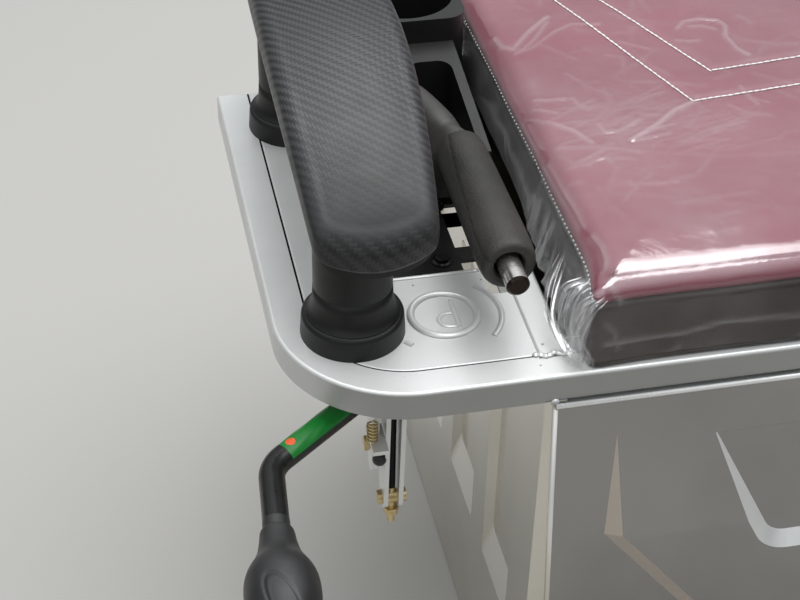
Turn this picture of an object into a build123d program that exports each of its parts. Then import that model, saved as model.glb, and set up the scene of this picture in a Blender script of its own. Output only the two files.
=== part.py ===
from build123d import *
import os

# Driver's seat unit of an electric cargo tricycle, in millimetres.
# The origin is the bottom centre of the seat box, +Z is up, the front faces -Y,
# and the rider's right hand is at -X.

os.makedirs("parts", exist_ok=True)

# Seat box
box_width = 560.0
box_depth = 400.0
box_height = 376.0
tube = 20.0
tube_wall = 1.8
sheet = 2.0
sill_height = 61.0
sill_thick = 3.0
sill_foot = 32.0
foot_hole_r = 4.5
foot_hole_in = 17.0
foot_count_x = 3
foot_count_y = 2
fold = 14.0
seam_gap = 2.5
lap_top = 6.5
lap_bottom = 14.5
channel_width = 66.0
channel_floor_width = 55.0
channel_depth = 6.0
channel_corner = 5.5
channel_low = 114.0
channel_floor_low = 142.0
channel_high = box_height - 46.0
channel_floor_high = box_height - 55.0
channel_backs = (78.0, 177.0, 276.0)
flange_top = 14.0
flange_bottom = 30.0

# Side tray
tray_reach = 154.0
tray_length = box_depth - 47.0
tray_corner = 82.0
rim_width = 22.0
rim_front = 20.0
rim_skirt = 20.0
rim_thick = 2.5
rim_round = 2.2
groove = 1.3
ledge = 10.0
pit_in = 13.7
pit_out = 113.7
pit_front = 112.0
pit_rear = box_depth - 130.0
pit_flange = 20.0
notch_front = 85.0
ring_out = 47.2
ring_back = 69.9
ring_radius = 21.0
arc_radius = 36.0
arc_spans = ((-45.0, 90.0), (216.0, 9.0))
arc_sink = 0.9
arc_ridge = 2.2
ridge = 2.6
ridge_sink = 0.4

# Armrest
post_outs = (105.7, 103.9)
post_backs = (67.0, box_depth - 94.0)
post_r = 24.3
boot_r = 32.5
boot_height = 16.0
boot_round = 3.5
boot_flare = 0.8
rest_centre = 95.7
rest_halves = (36.0, 44.4, 30.0)
rest_front = 32.0
rest_rear = box_depth - 9.0
rest_parting = (68.0, 126.0, 68.0)
rest_crown = (88.0, 150.0, 92.0)
rest_overrun = 2.0
rest_under = 6.0
rest_bow = 9.0
rest_corner = 15.0
rest_ends = (
    # distance from the end, drop of the crown
    (-2.0, 11.0),
    (1.0, 6.5),
    (4.0, 3.0),
    (8.0, 1.0),
    (12.0, 0.2),
    (20.0, 0.0),
)
rest_shares = (0.15, 0.24, 0.33, 0.42, 0.51, 0.6, 0.69, 0.78, 0.86)
rest_flank = 0.4
rest_shoulder = 12.0
rest_dome = 4.0
knee_share = 0.29
shell_thick = 6.0
shell_inset = 1.5
skin_gap = 0.3

# Cup and phone console
cup_out = 16.2
cup_back = box_depth - 47.0
cup_r = 37.5
cup_wall = 3.0
cup_top = 72.0
pocket_out = (-6.3, 25.7)
pocket_back = (box_depth - 201.0, box_depth - 109.0)
pocket_wall = (7.0, 4.5)
pocket_slope = 1.0 / 6.0
pocket_top_rear = 53.7
console_floor = 4.0

# Cushion and its board
seat_side = 29.6
seat_front = 7.0
seat_rear = box_depth - 14.0
seat_lift = 1.5
seat_height = 66.0
seat_corner = 20.0
seat_crown_r = 17.0
board_thick = 10.0
board_inset = 3.5
board_lift = 2.6
buffer_x = 150.0
buffer_size = (40.0, 7.0)
hinge_x = 170.0
hinge_half = 26.0
hinge_axis = (box_depth - 9.5, 4.2)
knuckle_r = 3.6
knuckle_gap = 0.4
leaf_thick = 2.0
leaf_reach = 34.0
hinge_pin_r = 1.6

# Parking brake lever
brake_out = 44.7
brake_back = box_depth - 145.0
brake_rise = 8.0
grip_out = 15.0
grip_rise = 53.0
grip_rear = brake_back - 76.0
grip_front = brake_back - 212.0
neck_sections = (
    # distance behind the grip's rear end, outboard, height, half width, half height
    (0.0, 15.8, 51.0, 14.0, 16.0),
    (7.0, 18.5, 44.0, 14.0, 23.0),
    (12.0, 21.0, 46.5, 14.0, 20.0),
    (17.0, 23.0, 54.5, 13.0, 13.5),
    (27.0, 26.0, 57.0, 13.0, 13.0),
    (52.0, 34.0, 59.0, 12.0, 12.0),
    (63.0, 38.5, 60.0, 10.0, 10.5),
    (74.0, 43.0, 60.0, 7.6, 9.0),
)
grip_profile = (
    # radius, distance from the rear end
    (15.2, 0.0),
    (16.4, 12.0),
    (17.2, 60.0),
    (17.8, 115.0),
    (17.0, 126.0),
    (14.0, 130.0),
)
button_room = 1.4
arm_r = 5.5
arm_knee = (44.7, brake_back + 9.0, 44.0)
arm_shoulder = (41.2, brake_back - 4.0, 60.0)
arm_front = brake_back - 188.7
arm_bends = [9.0, 9.0, 30.0]
eye_r = 11.0
eye_thick = 8.0
button_r = 7.2
button_length = 20.0
button_edge = 1.6
hand_pin_r = 4.0
quadrant_out = 59.0
quadrant_thick = 3.0
quadrant_r = 46.0
tooth_count = 12
tooth_r = 2.6
tooth_start = 100.0
tooth_pitch = 6.0
quadrant_top = 2.0
quadrant_rear = (14.0, 4.0)
quadrant_knee = 0.4
pin_head_r = 7.2
pin_head = 3.0
strip_drop = 18.0
strip_in = 19.0
strip_gap = 2.0
lug_backs = (150.0, 214.0)
lug_width = 14.0

# Range lever under the tray
range_back = 53.0
range_drop = 42.0
rod_r = 8.0
rod_bends = [16.0, 22.0]
knob_profile = (
    # radius, distance from the rod's end
    (10.0, 0.0),
    (10.5, 9.0),
    (11.8, 18.0),
    (14.0, 27.0),
    (16.8, 36.0),
    (20.0, 45.0),
    (21.8, 56.0),
    (21.8, 66.0),
    (20.4, 77.0),
    (16.4, 87.0),
    (10.0, 93.5),
    (3.0, 95.5),
)
shaft_end_out = 49.0
shaft_bend_out = 100.7
elbow = (167.2, 5.0, -48.0)
knob_start = (171.0, -41.0, -48.0)
ear_outs = (50.7, 66.7)
ear_thick = 4.0
ear_r = 14.0
crank_out = 82.4
crank_gap = 7.0
crank_thick = 3.0
crank_length = 92.0
crank_r = 7.5
barrel_r = 4.8
stud_r = 2.6
link_out = 93.0
link_thick = 4.0
link_length = 58.0
fork_r = 6.5
tongue = (10.0, 26.0, 3.0)
tongue_drop = 28.0
barrel_proud = 3.0
stud_below = 22.0
nut_r = 5.2
nut_height = 5.0
nut_gap = 2.0
hub_wall = 4.5
slack = 0.1


def out(distance):
    """X of a point this far outboard of the box's right side."""
    return -box_width / 2 - distance


def back(distance):
    """Y of a point this far behind the front face."""
    return -box_depth / 2 + distance


def up(distance):
    """Z of a point this far above the top of the frame."""
    return box_height + distance


def save(part, name):
    part.label = name
    export_step(part, "parts/" + name + ".step")


def mirrored(part):
    return mirror(part, about=Plane.YZ)


# Frame of square tube around the open top of the box
with BuildPart() as front_rail:
    with BuildSketch(Plane.YZ.offset(-box_width / 2)):
        with Locations((back(tube / 2), up(-tube / 2))):
            RectangleRounded(tube, tube, 2.5)
            Rectangle(tube - 2 * tube_wall, tube - 2 * tube_wall, mode=Mode.SUBTRACT)
    extrude(amount=box_width)
save(front_rail.part, "front_rail")

with BuildPart() as rear_rail:
    add(front_rail.part.moved(Location((0, box_depth - tube, 0))))
save(rear_rail.part, "rear_rail")

with BuildPart() as side_rail_right:
    with BuildSketch(Plane.XZ.offset(-back(tube))):
        with Locations((out(-tube / 2), up(-tube / 2))):
            RectangleRounded(tube, tube, 2.5)
            Rectangle(tube - 2 * tube_wall, tube - 2 * tube_wall, mode=Mode.SUBTRACT)
    extrude(amount=-(box_depth - 2 * tube))
save(side_rail_right.part, "side_rail_right")
save(mirrored(side_rail_right.part), "side_rail_left")

# Sill: an angle ring with bolt holes, which carries the panels
with BuildPart() as base_frame:
    Box(box_width, box_depth, sill_height, align=(Align.CENTER, Align.CENTER, Align.MIN))
    with Locations((0, 0, sill_thick)):
        Box(
            box_width - 2 * sill_thick,
            box_depth - 2 * sill_thick,
            sill_height,
            align=(Align.CENTER, Align.CENTER, Align.MIN),
            mode=Mode.SUBTRACT,
        )
    Box(
        box_width - 2 * sill_foot,
        box_depth - 2 * sill_foot,
        4 * sill_thick,
        mode=Mode.SUBTRACT,
    )
    foot_pitch_x = (box_width - 2 * foot_hole_in) / (foot_count_x - 1)
    foot_pitch_y = box_depth - 2 * foot_hole_in
    with GridLocations(foot_pitch_x, foot_pitch_y, round(foot_count_x), round(foot_count_y)):
        Cylinder(foot_hole_r, 4 * sill_thick, mode=Mode.SUBTRACT)
save(base_frame.part, "base_frame")

# Side panel with three pressed channels and folded ends
panel_top = box_height - tube
with BuildPart() as side_panel_right:
    with BuildSketch(Plane.YZ.offset(-box_width / 2)):
        with Locations((0, (sill_height + panel_top) / 2)):
            Rectangle(box_depth, panel_top - sill_height)
    extrude(amount=sheet)
    for channel_back in channel_backs:
        for shift, mode in ((sheet, Mode.ADD), (0.0, Mode.SUBTRACT)):
            with BuildSketch(Plane.YZ.offset(-box_width / 2 + shift)):
                with Locations((back(channel_back), (channel_low + channel_high) / 2)):
                    RectangleRounded(channel_width, channel_high - channel_low, channel_corner)
            with BuildSketch(Plane.YZ.offset(-box_width / 2 + shift + channel_depth)):
                with Locations((back(channel_back), (channel_floor_low + channel_floor_high) / 2)):
                    RectangleRounded(channel_floor_width, channel_floor_high - channel_floor_low, channel_corner)
            loft(ruled=True, mode=mode)
    for end in (-1, 1):
        with BuildSketch(Plane.XZ.offset(-end * box_depth / 2)):
            with BuildLine():
                Polyline(
                    (out(0), sill_height),
                    (out(-flange_bottom), sill_height),
                    (out(-flange_top), panel_top),
                    (out(0), panel_top),
                    close=True,
                )
            make_face()
        extrude(amount=end * sheet)
save(side_panel_right.part, "side_panel_right")
save(mirrored(side_panel_right.part), "side_panel_left")


def lapped_panel(side):
    """Flat panel that laps over the folded ends of the side panels; side is -1 in front, 1 behind."""
    top = panel_top - seam_gap
    half_top = box_width / 2 - lap_top
    half_bottom = half_top - lap_bottom
    with BuildPart() as panel:
        with BuildSketch(Plane.XZ.offset(-side * box_depth / 2)):
            with BuildLine():
                Polyline(
                    (-half_bottom, sheet * 2),
                    (half_bottom, sheet * 2),
                    (half_top, top),
                    (-half_top, top),
                    close=True,
                )
            make_face()
        extrude(amount=-side * sheet)
        with BuildSketch(Plane.XY.offset(top)):
            with Locations((0, side * (box_depth / 2 + sheet - fold / 2))):
                Rectangle(box_width - 2 * (flange_top + skin_gap), fold)
        extrude(amount=-sheet)
        outer = panel.edges().filter_by(Axis.X).filter_by_position(Axis.Z, top - 0.1, top + 0.1)
        fillet(outer.sort_by(Axis.Y)[0 if side < 0 else -1], sheet * 0.9)
    return panel.part


# Front panel: a raised shield whose face leans out towards the bottom, with a flush hollow in it
shield_half = 232.0
shield_top = 324.0
shield_knee = 236.0
shield_bottom = 58.0
shield_depth = 8.0
shield_taper = 52.0
hollow_top = 314.0
hollow_bottom = 216.0
hollow_half_top = 165.0
hollow_half_bottom = 114.0
hollow_corner = 18.0
hollow_taper = 50.0
diagonal = (shield_knee - shield_bottom) * 61.0 / 77.6


def shield_outline():
    half_bottom = shield_half - diagonal
    Polyline(
        (-shield_half, shield_top),
        (-shield_half, shield_knee),
        (-half_bottom, shield_bottom),
        (half_bottom, shield_bottom),
        (shield_half, shield_knee),
        (shield_half, shield_top),
        close=True,
    )


front_plane = Plane.XZ.offset(box_depth / 2 + sheet)
with BuildPart() as shield:
    with BuildSketch(front_plane):
        with BuildLine():
            shield_outline()
        make_face()
    extrude(amount=shield_depth, taper=shield_taper)
    with BuildSketch(Plane.YZ.offset(-box_width / 2)):
        with BuildLine():
            Polyline(
                (-box_depth / 2 - sheet, shield_top),
                (-box_depth / 2 - sheet - shield_depth, shield_knee),
                (-box_depth / 2 - sheet - shield_depth, 0),
                (-box_depth / 2 - sheet, 0),
                close=True,
            )
        make_face()
    extrude(amount=box_width, mode=Mode.INTERSECT)
    with BuildSketch(front_plane) as hollow:
        with BuildLine():
            Polyline(
                (-hollow_half_top, hollow_top),
                (-hollow_half_bottom, hollow_bottom),
                (hollow_half_bottom, hollow_bottom),
                (hollow_half_top, hollow_top),
                close=True,
            )
        make_face()
        fillet(hollow.vertices().group_by(Axis.Y)[0], hollow_corner)
    extrude(amount=shield_depth, taper=-hollow_taper, mode=Mode.SUBTRACT)

with BuildPart() as front_panel:
    add(lapped_panel(-1))
    add(shield.part)
    add(shield.part.moved(Location((0, sheet, 0))), mode=Mode.SUBTRACT)
save(front_panel.part, "front_panel")
save(lapped_panel(1), "rear_panel")


def tray_outline(inset_side, inset_front, length=tray_length):
    """Rounded outline of the tray, set in from its outer and front edges, from the box side outwards."""
    left = out(tray_reach - inset_side)
    front = back(inset_front)
    radius = tray_corner - max(inset_side, inset_front)
    FilletPolyline(
        (out(0), front),
        (left, front),
        (left, back(length)),
        radius=radius,
    )
    Polyline((left, back(length)), (out(0), back(length)), (out(0), front))


# Rim of the tray: a folded edge with a skirt outside and a ledge inside that carries the plate
with BuildPart() as tray_rim_right:
    with BuildSketch(Plane.XY.offset(up(-rim_skirt))):
        with BuildLine():
            tray_outline(0, 0)
        make_face()
    extrude(amount=rim_skirt)
    outer_edges = (
        tray_rim_right.edges()
        .filter_by_position(Axis.Z, up(-0.1), up(0.1))
        .filter_by(lambda edge: edge.center().X < out(tray_reach - 30) or edge.center().Y < back(20))
    )
    fillet(outer_edges, rim_round)
    with BuildSketch(Plane.XY.offset(up(-rim_skirt))):
        with BuildLine():
            tray_outline(rim_thick, rim_thick, tray_length + 1)
        make_face()
    extrude(amount=rim_skirt - rim_thick, mode=Mode.SUBTRACT)
    with BuildSketch(Plane.XY.offset(up(-rim_thick - 1))):
        with BuildLine():
            tray_outline(rim_width, rim_front, tray_length + 1)
        make_face()
    extrude(amount=rim_thick + 2, mode=Mode.SUBTRACT)
    with BuildSketch(Plane.XY.offset(up(-2 * rim_thick - skin_gap))):
        with BuildLine():
            tray_outline(rim_width - 3, rim_front - 3)
        make_face()
        with BuildLine():
            tray_outline(rim_width + ledge, rim_front + ledge, tray_length + 1)
        make_face(mode=Mode.SUBTRACT)
    extrude(amount=rim_thick)
    with BuildSketch(Plane.XY.offset(up(-2 * rim_thick - skin_gap))):
        with BuildLine():
            tray_outline(rim_width - 3, rim_front - 3)
        make_face()
        with BuildLine():
            tray_outline(rim_width, rim_front, tray_length + 1)
        make_face(mode=Mode.SUBTRACT)
    extrude(amount=rim_thick + skin_gap + 0.5)
save(tray_rim_right.part, "tray_rim_right")
save(mirrored(tray_rim_right.part), "tray_rim_left")


def tray_blank():
    """Flat plate that lies inside the rim."""
    with BuildPart() as blank:
        with BuildSketch(Plane.XY.offset(up(-rim_thick))):
            with BuildLine():
                tray_outline(rim_width + groove, rim_front + groove)
            make_face()
        extrude(amount=rim_thick)
        top_edge = (
            blank.edges()
            .filter_by_position(Axis.Z, up(-0.1), up(0.1))
            .filter_by(lambda edge: edge.center().X < out(tray_reach - 50) or edge.center().Y < back(40))
        )
        fillet(top_edge, 1.0)
    return blank.part


# Right tray plate: the brake pit with folded edges, and the pressed ring with its two side arcs
with BuildPart() as tray_plate_right:
    add(tray_blank())
    with BuildSketch(Plane.XY.offset(up(-pit_flange))):
        with BuildLine():
            Polyline(
                (out(0), back(notch_front)),
                (out(pit_in), back(notch_front)),
                (out(pit_in), back(pit_front)),
                (out(pit_out), back(pit_front)),
                (out(pit_out), back(pit_rear)),
                (out(0), back(pit_rear)),
                close=True,
            )
        make_face()
    extrude(amount=2 * pit_flange, mode=Mode.SUBTRACT)
    with BuildSketch(Plane.XY.offset(up(-pit_flange))):
        with BuildLine():
            Polyline(
                (out(pit_in), back(pit_front - rim_thick)),
                (out(pit_out + rim_thick), back(pit_front - rim_thick)),
                (out(pit_out + rim_thick), back(pit_rear + rim_thick)),
                (out(pit_in), back(pit_rear + rim_thick)),
                (out(pit_in), back(pit_rear)),
                (out(pit_out), back(pit_rear)),
                (out(pit_out), back(pit_front)),
                (out(pit_in), back(pit_front)),
                close=True,
            )
        make_face()
    extrude(amount=pit_flange)
    pit_top = tray_plate_right.edges().filter_by_position(Axis.Z, up(-0.1), up(0.1))
    fillet(
        pit_top.filter_by(
            lambda edge: abs(edge.center().X - out(pit_out)) < 0.1
            or (abs(edge.center().Y - back(pit_front)) < 0.1 and edge.center().X < out(pit_in + 1))
        ),
        2.0,
    )
    with Locations((out(ring_out), back(ring_back), up(-ridge_sink))):
        Torus(ring_radius, ridge)
    for arc_start, arc_sweep in arc_spans:
        with BuildLine(Plane((out(ring_out), back(ring_back), up(-arc_sink)))) as arc_path:
            CenterArc((0, 0), arc_radius, arc_start, arc_sweep)
        with BuildSketch(Plane(arc_path.line @ 0, z_dir=arc_path.line % 0)):
            Circle(arc_ridge)
        sweep(path=arc_path.line)
    with BuildSketch(Plane.XY.offset(up(-rim_thick - 2 * ridge))):
        with Locations((out(ring_out), back(ring_back))):
            Circle(arc_radius + ridge)
    extrude(amount=2 * ridge, mode=Mode.SUBTRACT)
save(tray_plate_right.part, "tray_plate_right")
save(mirrored(tray_blank()), "tray_plate_left")


def rest_curve(place, values):
    """Value at a distance behind the front, on a circular arc through front, middle and rear values."""
    reach = (rest_rear - rest_front) / 2
    first, mid, last = values
    bulge = first + last - 2 * mid
    centre_value = (2 * reach**2 + first**2 + last**2 - 2 * mid**2) / (2 * bulge)
    centre_run = (2 * centre_value * (first - mid) - reach**2 - first**2 + mid**2) / (2 * reach)
    radius = (centre_run**2 + (mid - centre_value) ** 2) ** 0.5
    run = place - (rest_front + rest_rear) / 2
    return centre_value + (radius**2 - (run - centre_run) ** 2) ** 0.5


def height_arc(lower_by=0.0):
    """Arc of the parting line in the armrest's side view, run on past both ends."""
    places = (rest_front - rest_overrun, (rest_front + rest_rear) / 2, rest_rear + rest_overrun)
    return ThreePointArc(*[(back(place), up(rest_curve(place, rest_parting) - lower_by)) for place in places])


def armrest_plan(inset):
    """Outline of the armrest seen from above, widest at the middle and bowed at both ends."""
    centre = out(rest_centre)
    half_front, half_middle, half_rear = [half - inset for half in rest_halves]
    front = back(rest_front + inset)
    rear = back(rest_rear - inset)
    middle = back((rest_front + rest_rear) / 2)
    with BuildSketch(Plane.XY.offset(up(0))) as plan:
        with BuildLine():
            nose = ThreePointArc(
                (centre - half_front, front + rest_bow),
                (centre, front),
                (centre + half_front, front + rest_bow),
            )
            tail = ThreePointArc(
                (centre - half_rear, rear - rest_bow),
                (centre, rear),
                (centre + half_rear, rear - rest_bow),
            )
            ThreePointArc(nose @ 0, (centre - half_middle, middle), tail @ 0)
            ThreePointArc(nose @ 1, (centre + half_middle, middle), tail @ 1)
        make_face()
        fillet(plan.vertices(), rest_corner)
    return plan.sketch


def under_parting(lower_by):
    """Side view of what lies between the frame's top and an arc below the parting line."""
    arc = height_arc(lower_by)
    Polyline(arc @ 0, (back(rest_front - rest_overrun), up(0)), (back(rest_rear + rest_overrun), up(0)), arc @ 1)


# Armrest pad: an arch of domed sections from nose to tail, whose crown drops at both ends
def rest_stations():
    """Places along the armrest, each with the drop of its crown."""
    length = rest_rear - rest_front
    nose = [(rest_front + run, drop) for run, drop in rest_ends]
    middle = [(rest_front + share * length, 0.0) for share in rest_shares]
    tail = [(rest_rear - run, drop) for run, drop in reversed(rest_ends)]
    return nose + middle + tail


with BuildPart() as armrest_pad_right:
    rest_x = out(rest_centre)
    for place, drop in rest_stations():
        half = rest_curve(place, rest_halves) + rest_overrun
        parting = up(rest_curve(place, rest_parting))
        crown = up(rest_curve(place, rest_crown)) - drop
        flank = parting + rest_flank * (crown - parting)
        shoulder = crown - rest_dome
        knee_x = half - rest_shoulder * knee_share
        knee_z = shoulder - (shoulder - flank) * knee_share
        with BuildSketch(Plane.XZ.offset(-back(place))):
            with BuildLine():
                right = Line((rest_x - half, parting - rest_under), (rest_x - half, flank))
                turn = ThreePointArc(
                    right @ 1,
                    (rest_x - knee_x, knee_z),
                    (rest_x - half + rest_shoulder, shoulder),
                )
                dome = ThreePointArc(turn @ 1, (rest_x, crown), (rest_x + half - rest_shoulder, shoulder))
                turn_back = ThreePointArc(dome @ 1, (rest_x + knee_x, knee_z), (rest_x + half, flank))
                left = Line(turn_back @ 1, (rest_x + half, parting - rest_under))
                Line(left @ 1, right @ 0)
            make_face()
    loft(ruled=True)
    add(armrest_plan(0.0))
    extrude(amount=2 * rest_crown[1], mode=Mode.INTERSECT)
    with BuildSketch(Plane.YZ.offset(rest_x - 2 * rest_halves[1])):
        with BuildLine():
            under_parting(0.0)
        make_face()
    extrude(amount=4 * rest_halves[1], mode=Mode.SUBTRACT)
save(armrest_pad_right.part, "armrest_pad_right")
save(mirrored(armrest_pad_right.part), "armrest_pad_left")

# Hard shell under the pad, a little narrower, between two arcs below the parting line
with BuildPart() as shell:
    with BuildSketch(Plane.YZ.offset(out(rest_centre) - 2 * rest_halves[1])):
        with BuildLine():
            belly = height_arc(shell_thick)
            seat_line = height_arc(skin_gap)
            Line(belly @ 0, seat_line @ 0)
            Line(belly @ 1, seat_line @ 1)
        make_face()
    extrude(amount=4 * rest_halves[1])
    add(armrest_plan(shell_inset))
    extrude(amount=2 * rest_crown[1], mode=Mode.INTERSECT)
save(shell.part, "armrest_shell_right")
save(mirrored(shell.part), "armrest_shell_left")


def armrest_post(post_out, post_back):
    """Round post with a rounded collar at its foot, cut to the curve of the shell above it."""
    axis_x = out(post_out)
    rim_low = boot_height - boot_round
    round_off = boot_round * (1 - 0.5**0.5)
    with BuildPart() as post:
        with BuildSketch(Plane.XZ.offset(-back(post_back))):
            with BuildLine():
                wall = Line((axis_x + boot_r, up(0)), (axis_x + boot_r - boot_flare, up(rim_low)))
                rim = ThreePointArc(
                    wall @ 1,
                    (axis_x + boot_r - boot_flare - round_off, up(boot_height - round_off)),
                    (axis_x + boot_r - boot_flare - boot_round, up(boot_height)),
                )
                neck = Line(rim @ 1, (axis_x + post_r, up(boot_height + boot_flare)))
                Polyline(
                    neck @ 1,
                    (axis_x + post_r, up(rest_crown[1])),
                    (axis_x, up(rest_crown[1])),
                    (axis_x, up(0)),
                    wall @ 0,
                )
            make_face()
        revolve(axis=Axis((axis_x, back(post_back), 0), (0, 0, 1)))
        with BuildSketch(Plane.YZ.offset(out(post_out + 2 * boot_r))):
            with BuildLine():
                under_parting(shell_thick + skin_gap)
            make_face()
        extrude(amount=4 * boot_r, mode=Mode.INTERSECT)
    return post.part


for post_name, post_out, post_back in zip(("front", "rear"), post_outs, post_backs):
    post_part = armrest_post(post_out, post_back)
    save(post_part, "armrest_post_" + post_name + "_right")
    save(mirrored(post_part), "armrest_post_" + post_name + "_left")

# Console: a tall cup holder behind a lower pocket with a sloping rim
block_out = (cup_out + cup_r + cup_wall, cup_out - cup_r - cup_wall)
block_back = (cup_back - cup_r - cup_wall - 1.0, cup_back + cup_r + cup_wall)
pocket_low = pocket_top_rear - (block_back[0] - pocket_back[0] + pocket_wall[1]) * pocket_slope
with BuildPart() as console:
    with BuildSketch(Plane.XY.offset(up(0))) as block_plan:
        with BuildLine():
            Polyline(
                (out(block_out[0]), back(block_back[0])),
                (out(block_out[1]), back(block_back[0])),
                (out(block_out[1]), back(block_back[1])),
                (out(block_out[0]), back(block_back[1])),
                close=True,
            )
        make_face()
        fillet(block_plan.vertices(), 15.0)
    extrude(amount=cup_top)
    with BuildSketch(Plane.YZ.offset(out(pocket_out[1] + pocket_wall[1]))):
        with BuildLine():
            Polyline(
                (back(pocket_back[0] - pocket_wall[1]), up(0)),
                (back(block_back[0] + cup_wall), up(0)),
                (back(block_back[0] + cup_wall), up(pocket_top_rear)),
                (back(block_back[0]), up(pocket_top_rear)),
                (back(pocket_back[0] - pocket_wall[1]), up(pocket_low)),
                close=True,
            )
        make_face()
    extrude(amount=pocket_out[1] - pocket_out[0] + pocket_wall[0] + pocket_wall[1])
    with BuildSketch(Plane.XY.offset(up(console_floor))):
        with Locations((out(cup_out), back(cup_back))):
            Circle(cup_r)
    extrude(amount=cup_top, mode=Mode.SUBTRACT)
    with BuildSketch(Plane.XY.offset(up(console_floor))) as pocket_plan:
        with BuildLine():
            Polyline(
                (out(pocket_out[0]), back(pocket_back[0])),
                (out(pocket_out[1]), back(pocket_back[0])),
                (out(pocket_out[1]), back(pocket_back[1])),
                (out(pocket_out[0]), back(pocket_back[1])),
                close=True,
            )
        make_face()
        fillet(pocket_plan.vertices(), 10.0)
    extrude(amount=cup_top, mode=Mode.SUBTRACT)
save(console.part, "console")

# Cushion over its board
half_seat = box_width / 2 - seat_side
seat_middle = (seat_front + seat_rear) / 2
board_top = board_lift + board_thick
with BuildPart() as seat_cushion:
    with BuildSketch(Plane.XY.offset(up(seat_lift))):
        with Locations((0, back(seat_middle))):
            RectangleRounded(2 * half_seat, seat_rear - seat_front, seat_corner)
    extrude(amount=seat_height - seat_lift)
    fillet(seat_cushion.faces().sort_by(Axis.Z)[-1].edges(), seat_crown_r)
    with BuildSketch(Plane.XY.offset(up(seat_lift - 1))):
        with Locations((0, back(seat_middle))):
            RectangleRounded(
                2 * (half_seat - board_inset + skin_gap),
                seat_rear - seat_front - 2 * (board_inset - skin_gap),
                seat_corner,
            )
    extrude(amount=board_top + skin_gap - seat_lift + 1, mode=Mode.SUBTRACT)
    with Locations((0, back(seat_rear), up(seat_lift))):
        with GridLocations(2 * hinge_x, 1, 2, 1):
            Box(2 * (hinge_half + 2), 2 * board_inset + 1, 2 * (board_lift + skin_gap - seat_lift), mode=Mode.SUBTRACT)
save(seat_cushion.part, "seat_cushion")

with BuildPart() as seat_board:
    with BuildSketch(Plane.XY.offset(up(board_lift))):
        with Locations((0, back(seat_middle))):
            RectangleRounded(
                2 * (half_seat - board_inset),
                seat_rear - seat_front - 2 * board_inset,
                seat_corner,
            )
    extrude(amount=board_thick)
save(seat_board.part, "seat_board")

# Rubber buffers under the board's front edge, which rest on the front rail
with BuildPart() as seat_buffers:
    with BuildSketch(Plane.XY.offset(up(skin_gap))):
        with Locations((0, back(seat_front + board_inset + buffer_size[1] / 2 + 1))):
            with GridLocations(2 * buffer_x, 1, 2, 1):
                RectangleRounded(buffer_size[0], buffer_size[1], 3.0)
    extrude(amount=board_lift - skin_gap)
save(seat_buffers.part, "seat_buffers")

# Two hinges at the cushion's rear edge
axis_y = back(hinge_axis[0])
axis_z = up(hinge_axis[1])
knuckle_split = hinge_half / 3


def knuckles(spans, leaf_from, leaf_to, leaf_z):
    """Leaf and knuckles of both hinges; spans are the knuckles' ends along X from each hinge's middle."""
    with BuildPart() as leaves:
        for middle in (-hinge_x, hinge_x):
            with Locations((middle, (leaf_from + leaf_to) / 2, leaf_z + leaf_thick / 2)):
                Box(2 * hinge_half, abs(leaf_to - leaf_from), leaf_thick)
            for start, end in spans:
                with BuildSketch(Plane.YZ.offset(middle + start)):
                    with Locations((axis_y, axis_z)):
                        Circle(knuckle_r)
                extrude(amount=end - start)
    return leaves.part


def bored(part, bore_r, clear_spans):
    """Bore the knuckles and clear the leaf beside the other leaf's knuckles."""
    with BuildPart() as leaf:
        add(part)
        for middle in (-hinge_x, hinge_x):
            for start, end in clear_spans:
                with BuildSketch(Plane.YZ.offset(middle + start)):
                    with Locations((axis_y, axis_z)):
                        Circle(knuckle_r + 2 * knuckle_gap)
                extrude(amount=end - start, mode=Mode.SUBTRACT)
            with BuildSketch(Plane.YZ.offset(middle - hinge_half - 1)):
                with Locations((axis_y, axis_z)):
                    Circle(bore_r)
            extrude(amount=2 * hinge_half + 2, mode=Mode.SUBTRACT)
    return leaf.part


outer_spans = ((-hinge_half, -knuckle_split), (knuckle_split, hinge_half))
inner_span = (-knuckle_split + knuckle_gap, knuckle_split - knuckle_gap)
inner_clear = (-knuckle_split, knuckle_split)
outer_clear = (
    (-hinge_half - 1, -knuckle_split + knuckle_gap),
    (knuckle_split - knuckle_gap, hinge_half + 1),
)
fixed_leaf = knuckles(outer_spans, axis_y, back(box_depth), up(0))
save(bored(fixed_leaf, hinge_pin_r, (inner_clear,)), "seat_hinge_fixed")
moving_leaf = knuckles((inner_span,), axis_y - leaf_reach, axis_y, up(board_lift) - leaf_thick)
save(bored(moving_leaf, hinge_pin_r + slack, outer_clear), "seat_hinge_moving")
with BuildPart() as seat_hinge_pins:
    for middle in (-hinge_x, hinge_x):
        with BuildSketch(Plane.YZ.offset(middle - hinge_half)):
            with Locations((axis_y, axis_z)):
                Circle(hinge_pin_r)
        extrude(amount=2 * hinge_half)
save(seat_hinge_pins.part, "seat_hinge_pins")


def point(place):
    """Point from its distances outboard of the box side, behind the front and above the frame top."""
    return Vector(out(place[0]), back(place[1]), up(place[2]))


def turned(origin, direction, profile):
    """Solid of revolution about a line; profile holds radius and distance pairs along the line."""
    along = Vector(direction).normalized()
    radial = Vector(0, 0, 1)
    radial = (radial - along * radial.dot(along)).normalized()
    with BuildPart() as turning:
        with BuildSketch(Plane(origin=origin, x_dir=radial, z_dir=radial.cross(along))):
            with BuildLine():
                Polyline(*profile, close=True)
            make_face()
        revolve(axis=Axis(origin, along))
    return turning.part


def tube_along(points, radii, radius):
    """Round bar along straight runs with rounded corners."""
    with BuildPart() as bar:
        with BuildLine() as route:
            FilletPolyline(*points, radius=radii)
        with BuildSketch(Plane(route.line @ 0, z_dir=route.line % 0)):
            Circle(radius)
        sweep()
    return bar.part


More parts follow.
